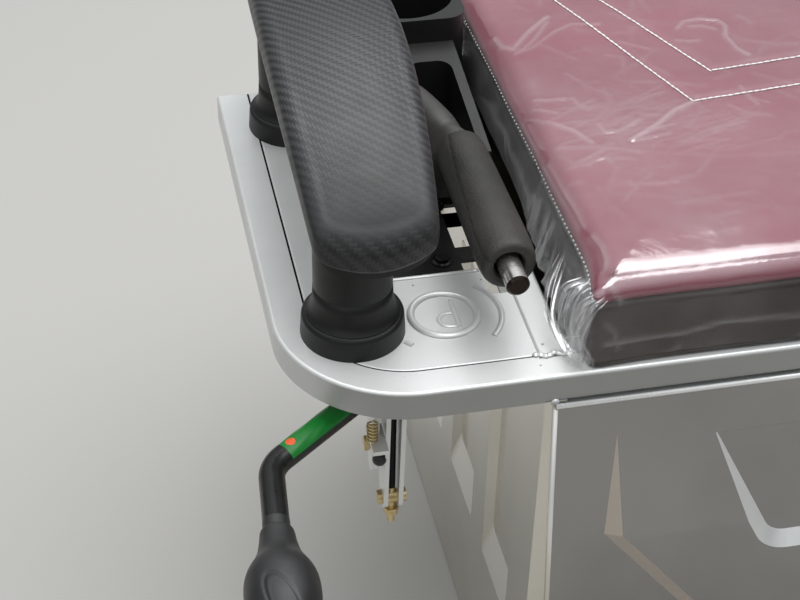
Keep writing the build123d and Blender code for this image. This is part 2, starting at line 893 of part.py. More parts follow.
# Brake bracket in the pit: a strip between the folded edges, and an upright with a toothed quadrant
pivot = point((brake_out, brake_back, brake_rise))
with BuildPart() as brake_bracket:
    with BuildSketch(Plane.XY.offset(up(-strip_drop))):
        with Locations((out((strip_in + pit_out - strip_gap) / 2), back((pit_front + pit_rear) / 2))):
            Rectangle(pit_out - strip_gap - strip_in, pit_rear - pit_front)
        for lug_back in lug_backs:
            with Locations((out(strip_in / 2 + 1), back(lug_back))):
                Rectangle(strip_in - 2, lug_width)
    extrude(amount=quadrant_thick)
    with BuildSketch(Plane.YZ.offset(out(quadrant_out + quadrant_thick))):
        with Locations((pivot.Y, pivot.Z)):
            Circle(quadrant_r)
            for tooth in range(tooth_count):
                with PolarLocations(quadrant_r, 1, tooth_start + tooth_pitch * tooth):
                    RegularPolygon(tooth_r, 3, mode=Mode.SUBTRACT)
        with BuildLine():
            plate_top = pivot.Z + quadrant_r + quadrant_top
            plate_front = pivot.Y - quadrant_r - quadrant_top
            Polyline(
                (plate_front, up(-strip_drop)),
                (pivot.Y + quadrant_rear[0], up(-strip_drop)),
                (pivot.Y + quadrant_rear[0], pivot.Z + quadrant_r * quadrant_knee),
                (pivot.Y + quadrant_rear[1], plate_top),
                (plate_front, plate_top),
                close=True,
            )
        make_face(mode=Mode.INTERSECT)
    extrude(amount=quadrant_thick)
    with BuildSketch(Plane.YZ.offset(out(quadrant_out + 2 * quadrant_thick))):
        with Locations((pivot.Y, pivot.Z)):
            Circle(hand_pin_r)
    extrude(amount=3 * quadrant_thick, mode=Mode.SUBTRACT)
save(brake_bracket.part, "brake_bracket")

with BuildPart() as brake_pin:
    with BuildSketch(Plane.YZ.offset(out(quadrant_out + quadrant_thick))):
        with Locations((pivot.Y, pivot.Z)):
            Circle(hand_pin_r)
    extrude(amount=quadrant_out + quadrant_thick - brake_out + eye_thick / 2 + pin_head)
    with BuildSketch(Plane.YZ.offset(out(quadrant_out + quadrant_thick + pin_head))):
        with Locations((pivot.Y, pivot.Z)):
            Circle(pin_head_r)
    extrude(amount=pin_head)
save(brake_pin.part, "brake_pin")

arm_points = [
    pivot + Vector(0, 1, 8),
    point(arm_knee),
    point(arm_shoulder),
    point((grip_out, grip_rear, grip_rise)),
    point((grip_out, arm_front, grip_rise)),
]
bar = tube_along(arm_points, arm_bends, arm_r)
bar_room = tube_along(arm_points, arm_bends, arm_r + skin_gap)
with BuildPart() as brake_arm:
    add(bar)
    with BuildSketch(Plane.YZ.offset(out(brake_out + eye_thick / 2))):
        with Locations((pivot.Y, pivot.Z)):
            Circle(eye_r)
    extrude(amount=eye_thick)
    with BuildSketch(Plane.YZ.offset(out(brake_out + eye_thick))):
        with Locations((pivot.Y, pivot.Z)):
            Circle(hand_pin_r + slack)
    extrude(amount=2 * eye_thick, mode=Mode.SUBTRACT)
save(brake_arm.part, "brake_arm")

grip_start = point((grip_out, grip_front + grip_profile[-1][1], grip_rise))
button_start = point((grip_out, arm_front - skin_gap, grip_rise))
button_reach = arm_front - skin_gap - grip_front + button_length
with BuildPart() as brake_grip:
    add(turned(grip_start, (0, -1, 0), ((0, 0), *grip_profile, (0, grip_profile[-1][1]))))
    add(bar_room, mode=Mode.SUBTRACT)
    room_r = button_r + button_room
    add(
        turned(
            button_start + Vector(0, button_room, 0),
            (0, -1, 0),
            ((0, 0), (room_r, 0), (room_r, button_reach), (0, button_reach)),
        ),
        mode=Mode.SUBTRACT,
    )
save(brake_grip.part, "brake_grip")

# Moulded neck behind the grip: upright ovals that follow the arm over the pocket's corner
with BuildPart() as brake_sleeve:
    for run, outboard, height, half_width, half_height in neck_sections:
        with BuildSketch(Plane.XZ.offset(-back(grip_front + grip_profile[-1][1] + run))):
            with Locations((out(outboard), up(height))):
                Ellipse(half_width, half_height)
    loft(ruled=True)
    add(bar_room, mode=Mode.SUBTRACT)
save(brake_sleeve.part, "brake_sleeve")

save(
    turned(
        button_start,
        (0, -1, 0),
        (
            (0, 0),
            (button_r, 0),
            (button_r, button_reach - button_edge),
            (button_r - button_edge, button_reach),
            (0, button_reach),
        ),
    ),
    "brake_button",
)

# Range lever: a bent rod in two ears under the tray, with a knob in front and a crank fork inboard
shaft_at = point((crank_out, range_back, -range_drop))
with BuildPart() as range_bracket:
    for ear_out in ear_outs:
        with BuildSketch(Plane.YZ.offset(out(ear_out + ear_thick))):
            with Locations((shaft_at.Y, shaft_at.Z)):
                Circle(ear_r)
            with Locations((shaft_at.Y, (shaft_at.Z + up(-rim_thick)) / 2)):
                Rectangle(2 * ear_r, up(-rim_thick) - shaft_at.Z)
        extrude(amount=ear_thick)
    ears_middle = (ear_outs[0] + ear_outs[1] + ear_thick) / 2
    with Locations((out(ears_middle), shaft_at.Y, up(-rim_thick - ear_thick / 2))):
        Box(ear_outs[1] + ear_thick - ear_outs[0], 2 * ear_r, ear_thick)
    with BuildSketch(Plane.YZ.offset(out(ear_outs[1] + 2 * ear_thick))):
        with Locations((shaft_at.Y, shaft_at.Z)):
            Circle(rod_r + slack)
    extrude(amount=ear_outs[1] - ear_outs[0] + 4 * ear_thick, mode=Mode.SUBTRACT)
save(range_bracket.part, "range_bracket")

rod_points = [
    point((shaft_end_out, range_back, -range_drop)),
    point((shaft_bend_out, range_back, -range_drop)),
    point(elbow),
    point(knob_start),
]
save(tube_along(rod_points, rod_bends, rod_r), "range_rod")

knob_way = point(knob_start) - point(elbow)
save(
    turned(
        point(knob_start) + knob_way.normalized() * skin_gap,
        knob_way,
        ((0, 0), *knob_profile, (0, knob_profile[-1][1])),
    ),
    "range_knob",
)


def hanging_plate(from_out, thick, length, end_r, hub_r):
    """Plate that hangs from the shaft, with round ends."""
    with BuildPart() as plate:
        with BuildSketch(Plane.YZ.offset(out(from_out + thick))):
            with Locations((shaft_at.Y, shaft_at.Z)):
                Circle(hub_r)
            with Locations((shaft_at.Y, shaft_at.Z - length)):
                Circle(end_r)
            with BuildLine():
                Polyline(
                    (shaft_at.Y - hub_r, shaft_at.Z),
                    (shaft_at.Y - end_r, shaft_at.Z - length),
                    (shaft_at.Y + end_r, shaft_at.Z - length),
                    (shaft_at.Y + hub_r, shaft_at.Z),
                    close=True,
                )
            make_face()
        extrude(amount=thick)
    return plate.part


hub_r = rod_r + hub_wall
with BuildPart() as range_crank:
    for plate_out in (crank_out - crank_gap / 2 - crank_thick, crank_out + crank_gap / 2):
        add(hanging_plate(plate_out, crank_thick, crank_length, crank_r, hub_r))
    with BuildSketch(Plane.YZ.offset(out(crank_out + crank_gap / 2 + crank_thick))):
        with Locations((shaft_at.Y, shaft_at.Z)):
            Circle(hub_r)
    extrude(amount=crank_gap + 2 * crank_thick)
    with BuildSketch(Plane.YZ.offset(out(crank_out + crank_gap))):
        with Locations((shaft_at.Y, shaft_at.Z)):
            Circle(rod_r + skin_gap)
        with Locations((shaft_at.Y, shaft_at.Z - crank_length)):
            Circle(barrel_r + skin_gap)
    extrude(amount=2 * crank_gap, mode=Mode.SUBTRACT)
save(range_crank.part, "range_crank")

barrel_z = shaft_at.Z - crank_length
with BuildPart() as range_adjuster:
    with BuildSketch(Plane.YZ.offset(out(crank_out + crank_gap / 2 + crank_thick + barrel_proud))):
        with Locations((shaft_at.Y, barrel_z)):
            Circle(barrel_r)
    extrude(amount=crank_gap + 2 * (crank_thick + barrel_proud))
    with BuildSketch(Plane.XY.offset(barrel_z - stud_below)):
        with Locations((shaft_at.X, shaft_at.Y)):
            Circle(stud_r)
    extrude(amount=stud_below + crank_length - hub_r - barrel_proud)
    with BuildSketch(Plane.XY.offset(barrel_z - crank_r - nut_gap)):
        with Locations((shaft_at.X, shaft_at.Y)):
            RegularPolygon(nut_r, 6)
    extrude(amount=-nut_height)
save(range_adjuster.part, "range_adjuster")

with BuildPart() as range_link:
    add(hanging_plate(link_out, link_thick, link_length, fork_r, hub_r))
    with Locations((out(link_out + link_thick / 2), shaft_at.Y - tongue[1] / 2, shaft_at.Z - tongue_drop)):
        Box(*tongue)
    with BuildSketch(Plane.YZ.offset(out(link_out + 2 * link_thick))):
        with Locations((shaft_at.Y, shaft_at.Z)):
            Circle(rod_r + skin_gap)
    extrude(amount=3 * link_thick, mode=Mode.SUBTRACT)
save(range_link.part, "range_link")
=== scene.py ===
# %% [markdown]
# # Driver's seat unit of a cargo tricycle
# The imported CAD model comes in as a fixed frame: sheet-metal box, side trays, armrests, two levers.
# What is soft, moulded, welded or printed is made here and laid over it, and every piece gets a finish.

# %% Frame
import bmesh
import bpy
import math
import numpy as np
from mathutils import Matrix, Vector


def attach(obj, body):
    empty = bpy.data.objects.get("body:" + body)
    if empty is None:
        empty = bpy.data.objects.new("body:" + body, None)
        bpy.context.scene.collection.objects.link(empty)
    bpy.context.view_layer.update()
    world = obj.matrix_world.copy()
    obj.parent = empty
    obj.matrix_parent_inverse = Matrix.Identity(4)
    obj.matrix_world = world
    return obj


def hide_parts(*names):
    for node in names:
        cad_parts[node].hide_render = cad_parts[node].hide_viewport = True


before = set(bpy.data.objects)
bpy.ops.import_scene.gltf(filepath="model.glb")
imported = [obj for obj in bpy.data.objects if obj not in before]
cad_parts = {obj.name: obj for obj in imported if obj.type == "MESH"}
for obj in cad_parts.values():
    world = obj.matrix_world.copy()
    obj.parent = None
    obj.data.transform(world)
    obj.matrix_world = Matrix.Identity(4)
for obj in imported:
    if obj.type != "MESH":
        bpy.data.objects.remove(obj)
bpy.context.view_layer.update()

# %% [markdown]
# The camera looks down on the unit's right front corner from standing height.
# Its place and turn come from the straight edges of the box and the round collars, solved for one lens.

# %% Camera
yaw, pitch, roll = (math.radians(a) for a in (12.7, 38.2, 1.3))
forward = np.array([math.sin(yaw) * math.cos(pitch), math.cos(yaw) * math.cos(pitch), -math.sin(pitch)])
right = np.array([math.cos(yaw), -math.sin(yaw), 0.0])
down = np.cross(forward, right)
right, down = (
    math.cos(roll) * right - math.sin(roll) * down,
    math.sin(roll) * right + math.cos(roll) * down,
)
lens = bpy.data.cameras.new("camera")
lens.sensor_width, lens.lens, lens.clip_start = 36.0, 76.5, 0.05
camera = bpy.data.objects.new("camera", lens)
turn = Matrix((tuple(right), tuple(-down), tuple(-forward))).transposed().to_4x4()
camera.matrix_world = Matrix.Translation((-0.5360, -0.9306, 1.0377)) @ turn
bpy.context.collection.objects.link(camera)
bpy.context.scene.camera = camera
bpy.context.scene.view_settings.view_transform = "Standard"

# %% [markdown]
# The frame's sizes, in millimetres as in the drawing. One helper turns distances outboard of the box's
# right side, behind its front and above its rim into points of the shared frame, in metres.

# %% Places
half_width, half_depth, rim_height = 280.0, 200.0, 376.0


def at(outboard, behind, above):
    """Points in metres: x = -(280 + outboard), y = behind - 200, z = 376 + above, each over 1000."""
    x, y, z = (np.asarray(part, float) for part in (outboard, behind, above))
    return joined(-(half_width + x), y - half_depth, rim_height + z) / 1000


# %% [markdown]
# Most pieces are grids of points. One helper turns such a grid into a mesh with its own UV map, in
# metres along the surface, so that weave and grain keep their real size.

# %% Grid to mesh
def mesh_piece(name, points, faces, uv=None, smooth=True):
    """Piece with a mesh of points in metres; uv gives a pair for each point."""
    mesh = bpy.data.meshes.new(name)
    mesh.from_pydata(points.reshape(-1, 3).tolist(), [], faces)
    if uv is not None:
        layer = mesh.uv_layers.new(name="surface")
        corner = np.empty(len(mesh.loops), np.int32)
        mesh.loops.foreach_get("vertex_index", corner)
        layer.data.foreach_set("uv", uv.reshape(-1, 2)[corner].astype(np.float32).ravel())
    mesh.polygons.foreach_set("use_smooth", np.full(len(mesh.polygons), smooth))
    mesh.update()
    piece = bpy.data.objects.new(name, mesh)
    bpy.context.collection.objects.link(piece)
    return piece


def grid_quads(rows, cols, around=False, along=False):
    """Quads that join neighbours; around closes each row, along joins the last row to the first."""
    r = np.arange(rows if along else rows - 1)[:, None] * cols
    c = np.arange(cols if around else cols - 1)
    next_r, next_c = (r + cols) % (rows * cols), (c + 1) % cols
    return np.stack([r + c, r + next_c, next_r + next_c, next_r + c], axis=-1).reshape(-1, 4)


def skin(name, grid, around=False, along=False, uv=None, smooth=True, caps=False):
    """Mesh of a grid of points (rows, columns, 3); caps close its first and last row."""
    rows, cols = grid.shape[:2]
    faces = grid_quads(rows, cols, around, along).tolist()
    if caps:
        faces += [list(range(cols))[::-1], list(range((rows - 1) * cols, rows * cols))]
    return mesh_piece(name, grid, faces, uv, smooth)


def joined(*parts):
    """Points from their separate coordinates, broadcast to one shape."""
    return np.stack(np.broadcast_arrays(*parts), axis=-1)


def tube(name, path, radius, sides, squash=1.0):
    """Tube: each path point plus radius times (cos t, sin t) in the plane across the path."""
    path = np.asarray(path, float)
    radius = np.broadcast_to(np.asarray(radius, float), len(path))
    way = np.gradient(path, axis=0)
    way /= np.linalg.norm(way, axis=1, keepdims=True)
    up_hint = np.array([0.0, 0.0, 1.0]) if abs(way[0, 2]) < 0.9 else np.array([0.0, 1.0, 0.0])
    side = np.cross(way, up_hint)
    side /= np.linalg.norm(side, axis=1, keepdims=True)
    over = np.cross(side, way)
    t = np.linspace(0, 2 * np.pi, sides, endpoint=False)
    ring = side[:, None] * np.cos(t)[None, :, None] + squash * over[:, None] * np.sin(t)[None, :, None]
    grid = path[:, None] + ring * radius[:, None, None]
    uv = joined(run_along(path)[:, None], t * radius.mean())
    return skin(name, grid, around=True, uv=uv, caps=True)


def run_along(path):
    """Length of a path of straight runs up to each of its points."""
    return np.concatenate([[0], np.cumsum(np.linalg.norm(np.diff(path, axis=0), axis=1))])


def wear(piece, coat, body, stands_for=None):
    """Gives a piece its finish and the body it rides on; stands_for names a CAD node, which is hidden."""
    piece.data.materials.append(coat)
    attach(piece, body)
    if stands_for:
        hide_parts(stands_for)
    return piece


def mark(piece, name, values):
    """A number for each point of a piece, which its finish reads by name."""
    layer = piece.data.attributes.new(name, "FLOAT", "POINT")
    layer.data.foreach_set("value", values.astype(np.float32).ravel())


# %% [markdown]
# Finishes are built from shader nodes. One helper adds a node to the open finish and feeds its inputs,
# each with a plain value or another node's output; the small ones after it are the nodes used most.

# %% Shader helpers
def finish(name, shelf=bpy.data.materials):
    """Opens a new finish: the helpers below add their nodes to the one that was opened last."""
    global tree
    made = shelf.new(name)
    made.use_nodes = True
    tree = made.node_tree
    return made


def feed(socket, value):
    """Links an output to a socket or sets its value; a colour of three parts is made opaque."""
    if isinstance(value, bpy.types.NodeSocket):
        tree.links.new(value, socket)
    else:
        socket.default_value = (*value, 1.0) if isinstance(value, tuple) else value


def add(kind, inputs=None, **settings):
    """A shader node of the open finish; each input is a value or another node's socket."""
    made = tree.nodes.new("ShaderNode" + kind)
    for key, value in settings.items():
        setattr(made, key, value)
    for key, value in (inputs or {}).items():
        feed(made.inputs[key], value)
    return made


def plug(**inputs):
    """Feeds the shader's own sockets; a name's underscores are spaces."""
    for key, value in inputs.items():
        feed(tree.nodes["Principled BSDF"].inputs[key.replace("_", " ")], value)


def plugged(key):
    """The output that feeds one of the shader's sockets so far."""
    return tree.nodes["Principled BSDF"].inputs[key].links[0].from_socket


def part_of(vector, axis):
    return add("SeparateXYZ", {"Vector": vector}).outputs[axis]


def place(kind="Object"):
    """Where the shader stands on the piece: object coordinates, or its UV map."""
    return add("TexCoord").outputs[kind]


def noise(scale, detail=3.0, rough=0.55):
    inputs = {"Vector": place(), "Scale": scale, "Detail": detail, "Roughness": rough}
    return add("TexNoise", inputs).outputs["Fac"]


def ramp(value, *stops):
    """Colours or greys along a value from 0 to 1; each stop is a position and a colour."""
    made = add("ValToRGB", {"Fac": value})
    marks = made.color_ramp.elements
    while len(marks) < len(stops):
        marks.new(0.5)
    for stop, (position, colour) in zip(marks, stops):
        stop.position = position
        stop.color = (*colour, 1.0) if isinstance(colour, tuple) else (colour, colour, colour, 1.0)
    return made.outputs["Color"]


def maths(operation, a, b=0.0, clamp=False):
    return add("Math", {0: a, 1: b}, operation=operation, use_clamp=clamp).outputs[0]


def times(a, b):
    return maths("MULTIPLY", a, b)


def facing(axis):
    """How far the surface looks along X, Y or Z, or against it for -X, -Y or -Z."""
    share = part_of(add("NewGeometry").outputs["Normal"], axis[-1])
    return times(share, -1.0) if axis[0] == "-" else share


def blend(share, under, over):
    """Number that goes from under to over as the share goes from 0 to 1."""
    return add("Mix", {0: share, 2: under, 3: over}).outputs[0]


def blend_colour(share, under, over):
    """Colour that goes from under to over as the share goes from 0 to 1."""
    return add("Mix", {0: share, 6: under, 7: over}, data_type="RGBA").outputs[2]


def bump(height, depth, strength=1.0):
    return add("Bump", {"Height": height, "Distance": depth, "Strength": strength}).outputs["Normal"]


# %% [markdown]
# A soft, bright studio: a broad panel overhead and behind stands for the open sky, and a weaker one
# fills from the front. The floor is plain and pale, and stays pale in reflections too.

# %% Studio
def lamp(name, place, aim, size, power):
    light = bpy.data.lights.new(name, "AREA")
    light.shape, light.size, light.size_y, light.energy = "RECTANGLE", size[0], size[1], power
    holder = bpy.data.objects.new(name, light)
    holder.location = place
    holder.rotation_euler = (Vector(aim) - Vector(place)).to_track_quat("-Z", "Y").to_euler()
    bpy.context.collection.objects.link(holder)
    return holder


lamp("sky_panel", (0.15, 0.2, 2.7), (-0.05, 0.1, 0.3), (2.6, 2.5), 62.0)
lamp("front_fill", (-1.8, -2.2, 1.5), (-0.2, 0.0, 0.3), (1.6, 1.2), 4.0)

world = finish("studio", bpy.data.worlds)
sky_height = part_of(place("Generated"), "Z")
background = tree.nodes["Background"].inputs
feed(background["Color"], ramp(sky_height, (0.0, (0.1, 0.1, 0.095)), (0.75, (0.95, 0.98, 1.0))))
feed(background["Strength"], 0.9)
bpy.context.scene.world = world

# %% Floor
floor_paint = finish("pale_floor")
plug(Base_Color=(0.46, 0.45, 0.43), Roughness=0.85)
floor_grid = np.stack(np.meshgrid([-9, 0, 9], [-9, 0, 9], [-0.0005]), axis=-1)[:, :, 0]
floor = skin("floor", floor_grid)
floor.data.materials.append(floor_paint)


# %% [markdown]
# Silver paint covers the box and trays. It is sprayed, so it has a faint orange-peel ripple, a little
# dust, and dark chips where the steel was knocked or welded.

# %% Silver paint
def silver(name, gloss, tint, metal, chipped=False, painted_side_shade=0.0):
    """Sprayed silver: metallic base with a fine ripple, faint dust and chips; upright faces get a painted
    shade, darkest where they face front or back."""
    mat = finish(name)
    dust = ramp(noise(9.0, 4.0), (0.42, 0.0), (0.75, 1.0))
    colour = blend_colour(dust, tint, tuple(c * 0.86 for c in tint))
    if painted_side_shade:
        # painted shade: upright faces are mixed towards dark grey, fully where they face front or back, half where
        # they face sideways
        across = ramp(facing("Z"), (0.0, painted_side_shade), (0.75, 0.0))
        forward = ramp(maths("ABSOLUTE", facing("Y")), (0.6, 0.5), (0.95, 1.0))
        colour = blend_colour(times(across, forward), colour, (0.16, 0.155, 0.145))
    if chipped:
        spots = ramp(noise(210.0, 5.0, 0.7), (0.69, 0.0), (0.73, 1.0))
        patches = ramp(noise(13.0, 2.0), (0.6, 0.0), (0.72, 1.0))
        colour = blend_colour(times(spots, patches), colour, (0.09, 0.085, 0.08))
    plug(
        Base_Color=colour,
        Metallic=metal,
        Roughness=ramp(noise(30.0, 3.0), (0.3, gloss), (0.8, gloss + 0.1)),
        Normal=bump(noise(420.0, 2.0), 0.00012, 0.35),
        Coat_Weight=0.35,
        Coat_Roughness=0.08,
    )
    return mat


frame_silver = silver("frame_silver", 0.34, (0.78, 0.79, 0.78), 0.35, chipped=True, painted_side_shade=0.78)
# painted highlight: a lighter, glossier copy of the silver for the front panel's top fold
fold_highlight_silver = silver("fold_highlight_silver", 0.25, (0.85, 0.85, 0.85), 0.4)
bracket_silver = silver("bracket_silver", 0.34, (0.7, 0.7, 0.68), 0.3, chipped=True)


def pressed_slopes(lit_ways, away, lit_colour, painted_shade_colour):
    """Painted reflection on pressed slopes: lighter where they turn the lit ways, painted shade where turned away."""
    lit = 0.0
    for axis, low, high in lit_ways:
        lit = maths("ADD", lit, ramp(facing(axis), (low, 0.0), (high, 1.0)), True)
    turned_away_shade = ramp(facing(away), (0.2, 0.0), (0.45, 1.0))
    shaded_base = blend_colour(turned_away_shade, plugged("Base Color"), painted_shade_colour)
    roughness = blend(maths("MAXIMUM", lit, turned_away_shade), plugged("Roughness"), 0.5)
    plug(Base_Color=blend_colour(lit, shaded_base, lit_colour), Roughness=roughness)


front_silver = silver("front_silver", 0.13, (0.30, 0.29, 0.28), 0.85)
# painted reflection: slopes facing up or along +X are lighter, faces along -X a brownish painted shade
pressed_slopes([("Z", 0.13, 0.3), ("X", 0.2, 0.45)], "-X", (0.80, 0.81, 0.81), (0.56, 0.50, 0.44))
panel_silver = silver("panel_silver", 0.13, (0.64, 0.61, 0.54), 0.85)
# painted reflection: slopes facing up are lighter, faces looking down a painted shade
pressed_slopes([("Z", 0.13, 0.3)], "-Z", (0.85, 0.85, 0.83), (0.36, 0.34, 0.31))

# %% [markdown]
# The moulded black parts are fine-grained plastic. Hands and dust turn their upward faces and rims
# slightly grey, which the surface's own normal picks out.

# %% Black plastics and metals
def moulded(name, colour, grain, rough, dusty=0.0, shine=0.5):
    """Grained plastic: bump of fine noise, with a grey bloom on faces that look up."""
    mat = finish(name)
    bloom = times(ramp(facing("Z"), (0.75, 0.0), (1.0, dusty)), noise(40.0, 4.0))
    shade = blend_colour(bloom, colour, (0.16, 0.16, 0.16))
    plug(
        Base_Color=shade,
        Roughness=ramp(noise(60.0, 3.0), (0.3, rough - 0.06), (0.7, rough + 0.06)),
        Normal=bump(noise(grain, 2.0, 0.6), 0.00018, 0.5),
        Specular_IOR_Level=shine,
    )
    return mat


post_plastic = moulded("post_plastic", (0.007, 0.007, 0.007), 1500.0, 0.42, 0.15, 0.3)
console_plastic = moulded("console_plastic", (0.011, 0.011, 0.011), 1200.0, 0.42, 0.12, 0.35)
knob_plastic = moulded("knob_plastic", (0.012, 0.012, 0.013), 1800.0, 0.45, 0.2)
sleeve_rubber = moulded("sleeve_rubber", (0.034, 0.032, 0.030), 900.0, 0.55, 0.2)
buffer_rubber = moulded("buffer_rubber", (0.02, 0.02, 0.02), 900.0, 0.7)
black_enamel = moulded("black_enamel", (0.006, 0.006, 0.006), 500.0, 0.3, 0.06, 0.35)


def plain_metal(name, colour, rough, stain, stain_share=0.5):
    """Metal with brushed roughness and stains of another colour in the noise's peaks."""
    mat = finish(name)
    spots = ramp(noise(120.0, 5.0, 0.65), (0.52, 0.0), (0.72, stain_share))
    plug(
        Base_Color=blend_colour(spots, colour, stain),
        Metallic=0.95,
        Roughness=ramp(noise(90.0, 4.0), (0.3, rough), (0.75, rough + 0.2)),
        Normal=bump(noise(700.0, 3.0), 0.0001, 0.4),
    )
    return mat


zinc = plain_metal("zinc_yellow", (0.62, 0.50, 0.26), 0.28, (0.30, 0.20, 0.09))
dull_steel = plain_metal("dull_steel", (0.48, 0.48, 0.48), 0.32, (0.20, 0.14, 0.10))
worn_chrome = plain_metal("worn_chrome", (0.72, 0.70, 0.68), 0.12, (0.22, 0.10, 0.06), 0.9)
# painted shade: the button's end face, looking forward, is made dark brown instead of mirroring the bright floor
shaded_end_face = ramp(facing("-Y"), (0.35, 0.0), (0.7, 1.0))
chrome = plugged("Base Color")
plug(Base_Color=blend_colour(shaded_end_face, chrome, (0.03, 0.022, 0.018)))
# the adjuster is a black rod above a height of 250.5 mm, and a zinc barrel and stud below it
adjuster = finish("adjuster_metal")
on_rod = maths("GREATER_THAN", part_of(place(), "Z"), 0.2505)
barrel = ramp(noise(120.0, 5.0), (0.45, (0.62, 0.50, 0.26)), (0.7, (0.36, 0.24, 0.11)))
plug(
    Base_Color=blend_colour(on_rod, barrel, (0.012, 0.012, 0.012)),
    Metallic=0.9,
    Roughness=ramp(noise(90.0, 4.0), (0.3, 0.26), (0.75, 0.45)),
)
plywood = finish("plywood")
wood_bands = add("TexWave", {"Vector": place(), "Scale": 14.0, "Distortion": 6.0, "Detail": 3.0})
plug(
    Base_Color=ramp(wood_bands.outputs["Fac"], (0.2, (0.45, 0.31, 0.18)), (0.9, (0.33, 0.21, 0.11))),
    Roughness=0.75,
)

# %% Finishes of the CAD pieces
both_sides = "{0}_right {0}_left".format
finishes = [
    (frame_silver, ["front_rail rear_rail", *map(both_sides, ("side_rail", "tray_rim", "tray_plate"))]),
    (front_silver, ["front_panel"]),
    (panel_silver, [both_sides("side_panel"), "rear_panel base_frame"]),
    (bracket_silver, ["range_bracket range_crank range_link"]),
    (post_plastic, map(both_sides, ("armrest_shell", "armrest_post_front", "armrest_post_rear"))),
    (console_plastic, ["console"]),
    (black_enamel, ["brake_bracket brake_arm range_rod"]),
    (dull_steel, ["brake_pin"]),
    (zinc, ["seat_hinge_fixed seat_hinge_moving seat_hinge_pins"]),
    (adjuster, ["range_adjuster"]),
    (plywood, ["seat_board"]),
    (buffer_rubber, ["seat_buffers"]),
    (sleeve_rubber, ["brake_sleeve"]),
    (worn_chrome, ["brake_button"]),
]
finished = 0
for coat, names in finishes:
    for node_name in " ".join(names).split():
        cad_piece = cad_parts[node_name]
        cad_piece.data.materials.clear()
        cad_piece.data.materials.append(coat)
        finished += 1
print("finishes on", finished, "CAD pieces")

# %% [markdown]
# The cushion starts as a box of quads in the cushion's own frame, with x to the rider's left, y to the
# rear and z up, in millimetres. A plain box would look like a block, so its top edge becomes an arc and
# its plan corners are rounded, and everything later is a change along the surface's own direction.

# %% Cushion form
cushion_x, cushion_y, cushion_back = 248.6, 187.7, 196.5
cushion_low, cushion_high, seam_z = 1.7, 61.5, 45.0
corner_r, roll_r = 6.0, 17.0


def rounded(xy, depth):
    """Box point to rounded box: with e the distance to the edge and s = 17 - e + depth, the turn is
    a = s / 34 of a quarter circle, the inset 17 (1 - sin a) and the drop 17 (1 - cos a)."""
    half = np.array([cushion_x, cushion_y])
    q = np.clip(xy, corner_r - half, half - corner_r)
    d = xy - q
    size = np.linalg.norm(d, axis=1, keepdims=True)
    gap = half - np.abs(xy)
    nearest = np.where(gap[:, :1] < gap[:, 1:], [1.0, 0.0], [0.0, 1.0]) * np.sign(xy)
    way = np.where(size > 1e-9, d / np.maximum(size, 1e-9), nearest)
    edge = gap.min(axis=1)
    turn = np.clip((roll_r - edge + depth) / (2 * roll_r), 0, 1) * np.pi / 2
    plan = np.where(size > 1e-9, q + way * np.abs(d).max(axis=1, keepdims=True), xy)
    plan = plan + way * np.where(edge < roll_r, edge - roll_r * (1 - np.sin(turn)), 0.0)[:, None]
    z = cushion_high - np.where(depth < roll_r, roll_r * (1 - np.cos(turn)), depth)
    outward = np.concatenate([way * np.sin(turn)[:, None], np.cos(turn)[:, None]], axis=1)
    return np.concatenate([plan, z[:, None]], axis=1), outward


def border(grid):
    """The outer points of a grid, in order from its first corner."""
    return np.concatenate([grid[:-1, 0], grid[-1, :-1], grid[:0:-1, -1], grid[0, :0:-1]])


def wall(above, below):
    """Quads of a closed wall between two rings of point numbers."""
    return np.stack([np.roll(above, -1), above, below, np.roll(below, -1)], axis=1).tolist()


def cover_grid(nx, ny, depths):
    """Plain cover: an nx by ny top grid, then one ring of points per depth below its border."""
    flat = np.stack(np.meshgrid(
        np.linspace(-cushion_x, cushion_x, nx + 1), np.linspace(-cushion_y, cushion_y, ny + 1), indexing="ij"
    ), axis=-1).reshape(-1, 2)
    index = np.arange(len(flat)).reshape(nx + 1, ny + 1)
    ring = border(index)
    xy = np.concatenate([flat, np.tile(flat[ring], (len(depths), 1))])
    depth = np.concatenate([np.zeros(len(flat)), np.repeat(depths, len(ring))])
    points, outward = rounded(xy, depth)
    around = len(ring)
    corners = [index[:-1, :-1], index[1:, :-1], index[1:, 1:], index[:-1, 1:]]
    quads = np.stack([c.ravel() for c in corners], axis=1).tolist()
    for row in range(len(depths)):
        below = len(flat) + row * around + np.arange(around)
        quads += wall(ring, below)
        ring = below
    return points, outward, xy, depth, quads, ring


def seat_place(points):
    """From the cushion's frame in millimetres to the shared frame in metres."""
    return (points + [0.0, cushion_back - half_depth, rim_height]) / 1000


def smooth_through(values, spots):
    """Smooth curve through rows of values at whole steps: Catmull-Rom, the mean of two parabolas."""
    values = np.concatenate([2 * values[:1] - values[1:2], values, 2 * values[-1:] - values[-2:-1]])
    k = np.minimum(spots.astype(int), len(values) - 4)
    t = (spots - k)[:, None]
    a, b, c, d = (values[k + i] for i in range(4))
    return 0.5 * (2 * b + (c - a) * t + (2 * a - 5 * b + 4 * c - d) * t**2 + (3 * b - a - 3 * c + d) * t**3)


# %% [markdown]
# The foam's swell comes from a cloth simulation of a coarse copy of the cover, under pressure and
# without gravity. A point that went m moves by c m / (c + m), where the cap c is 1.4 mm, because the
# console stands close beside the cushion. The fine cover then takes the coarse one's swell.

# %% Cushion swell
coarse_x, coarse_y, swell_cap, cloth_steps = 60, 45, 1.4, 20
coarse_depths = np.linspace(0, cushion_high - cushion_low, 9)[1:]


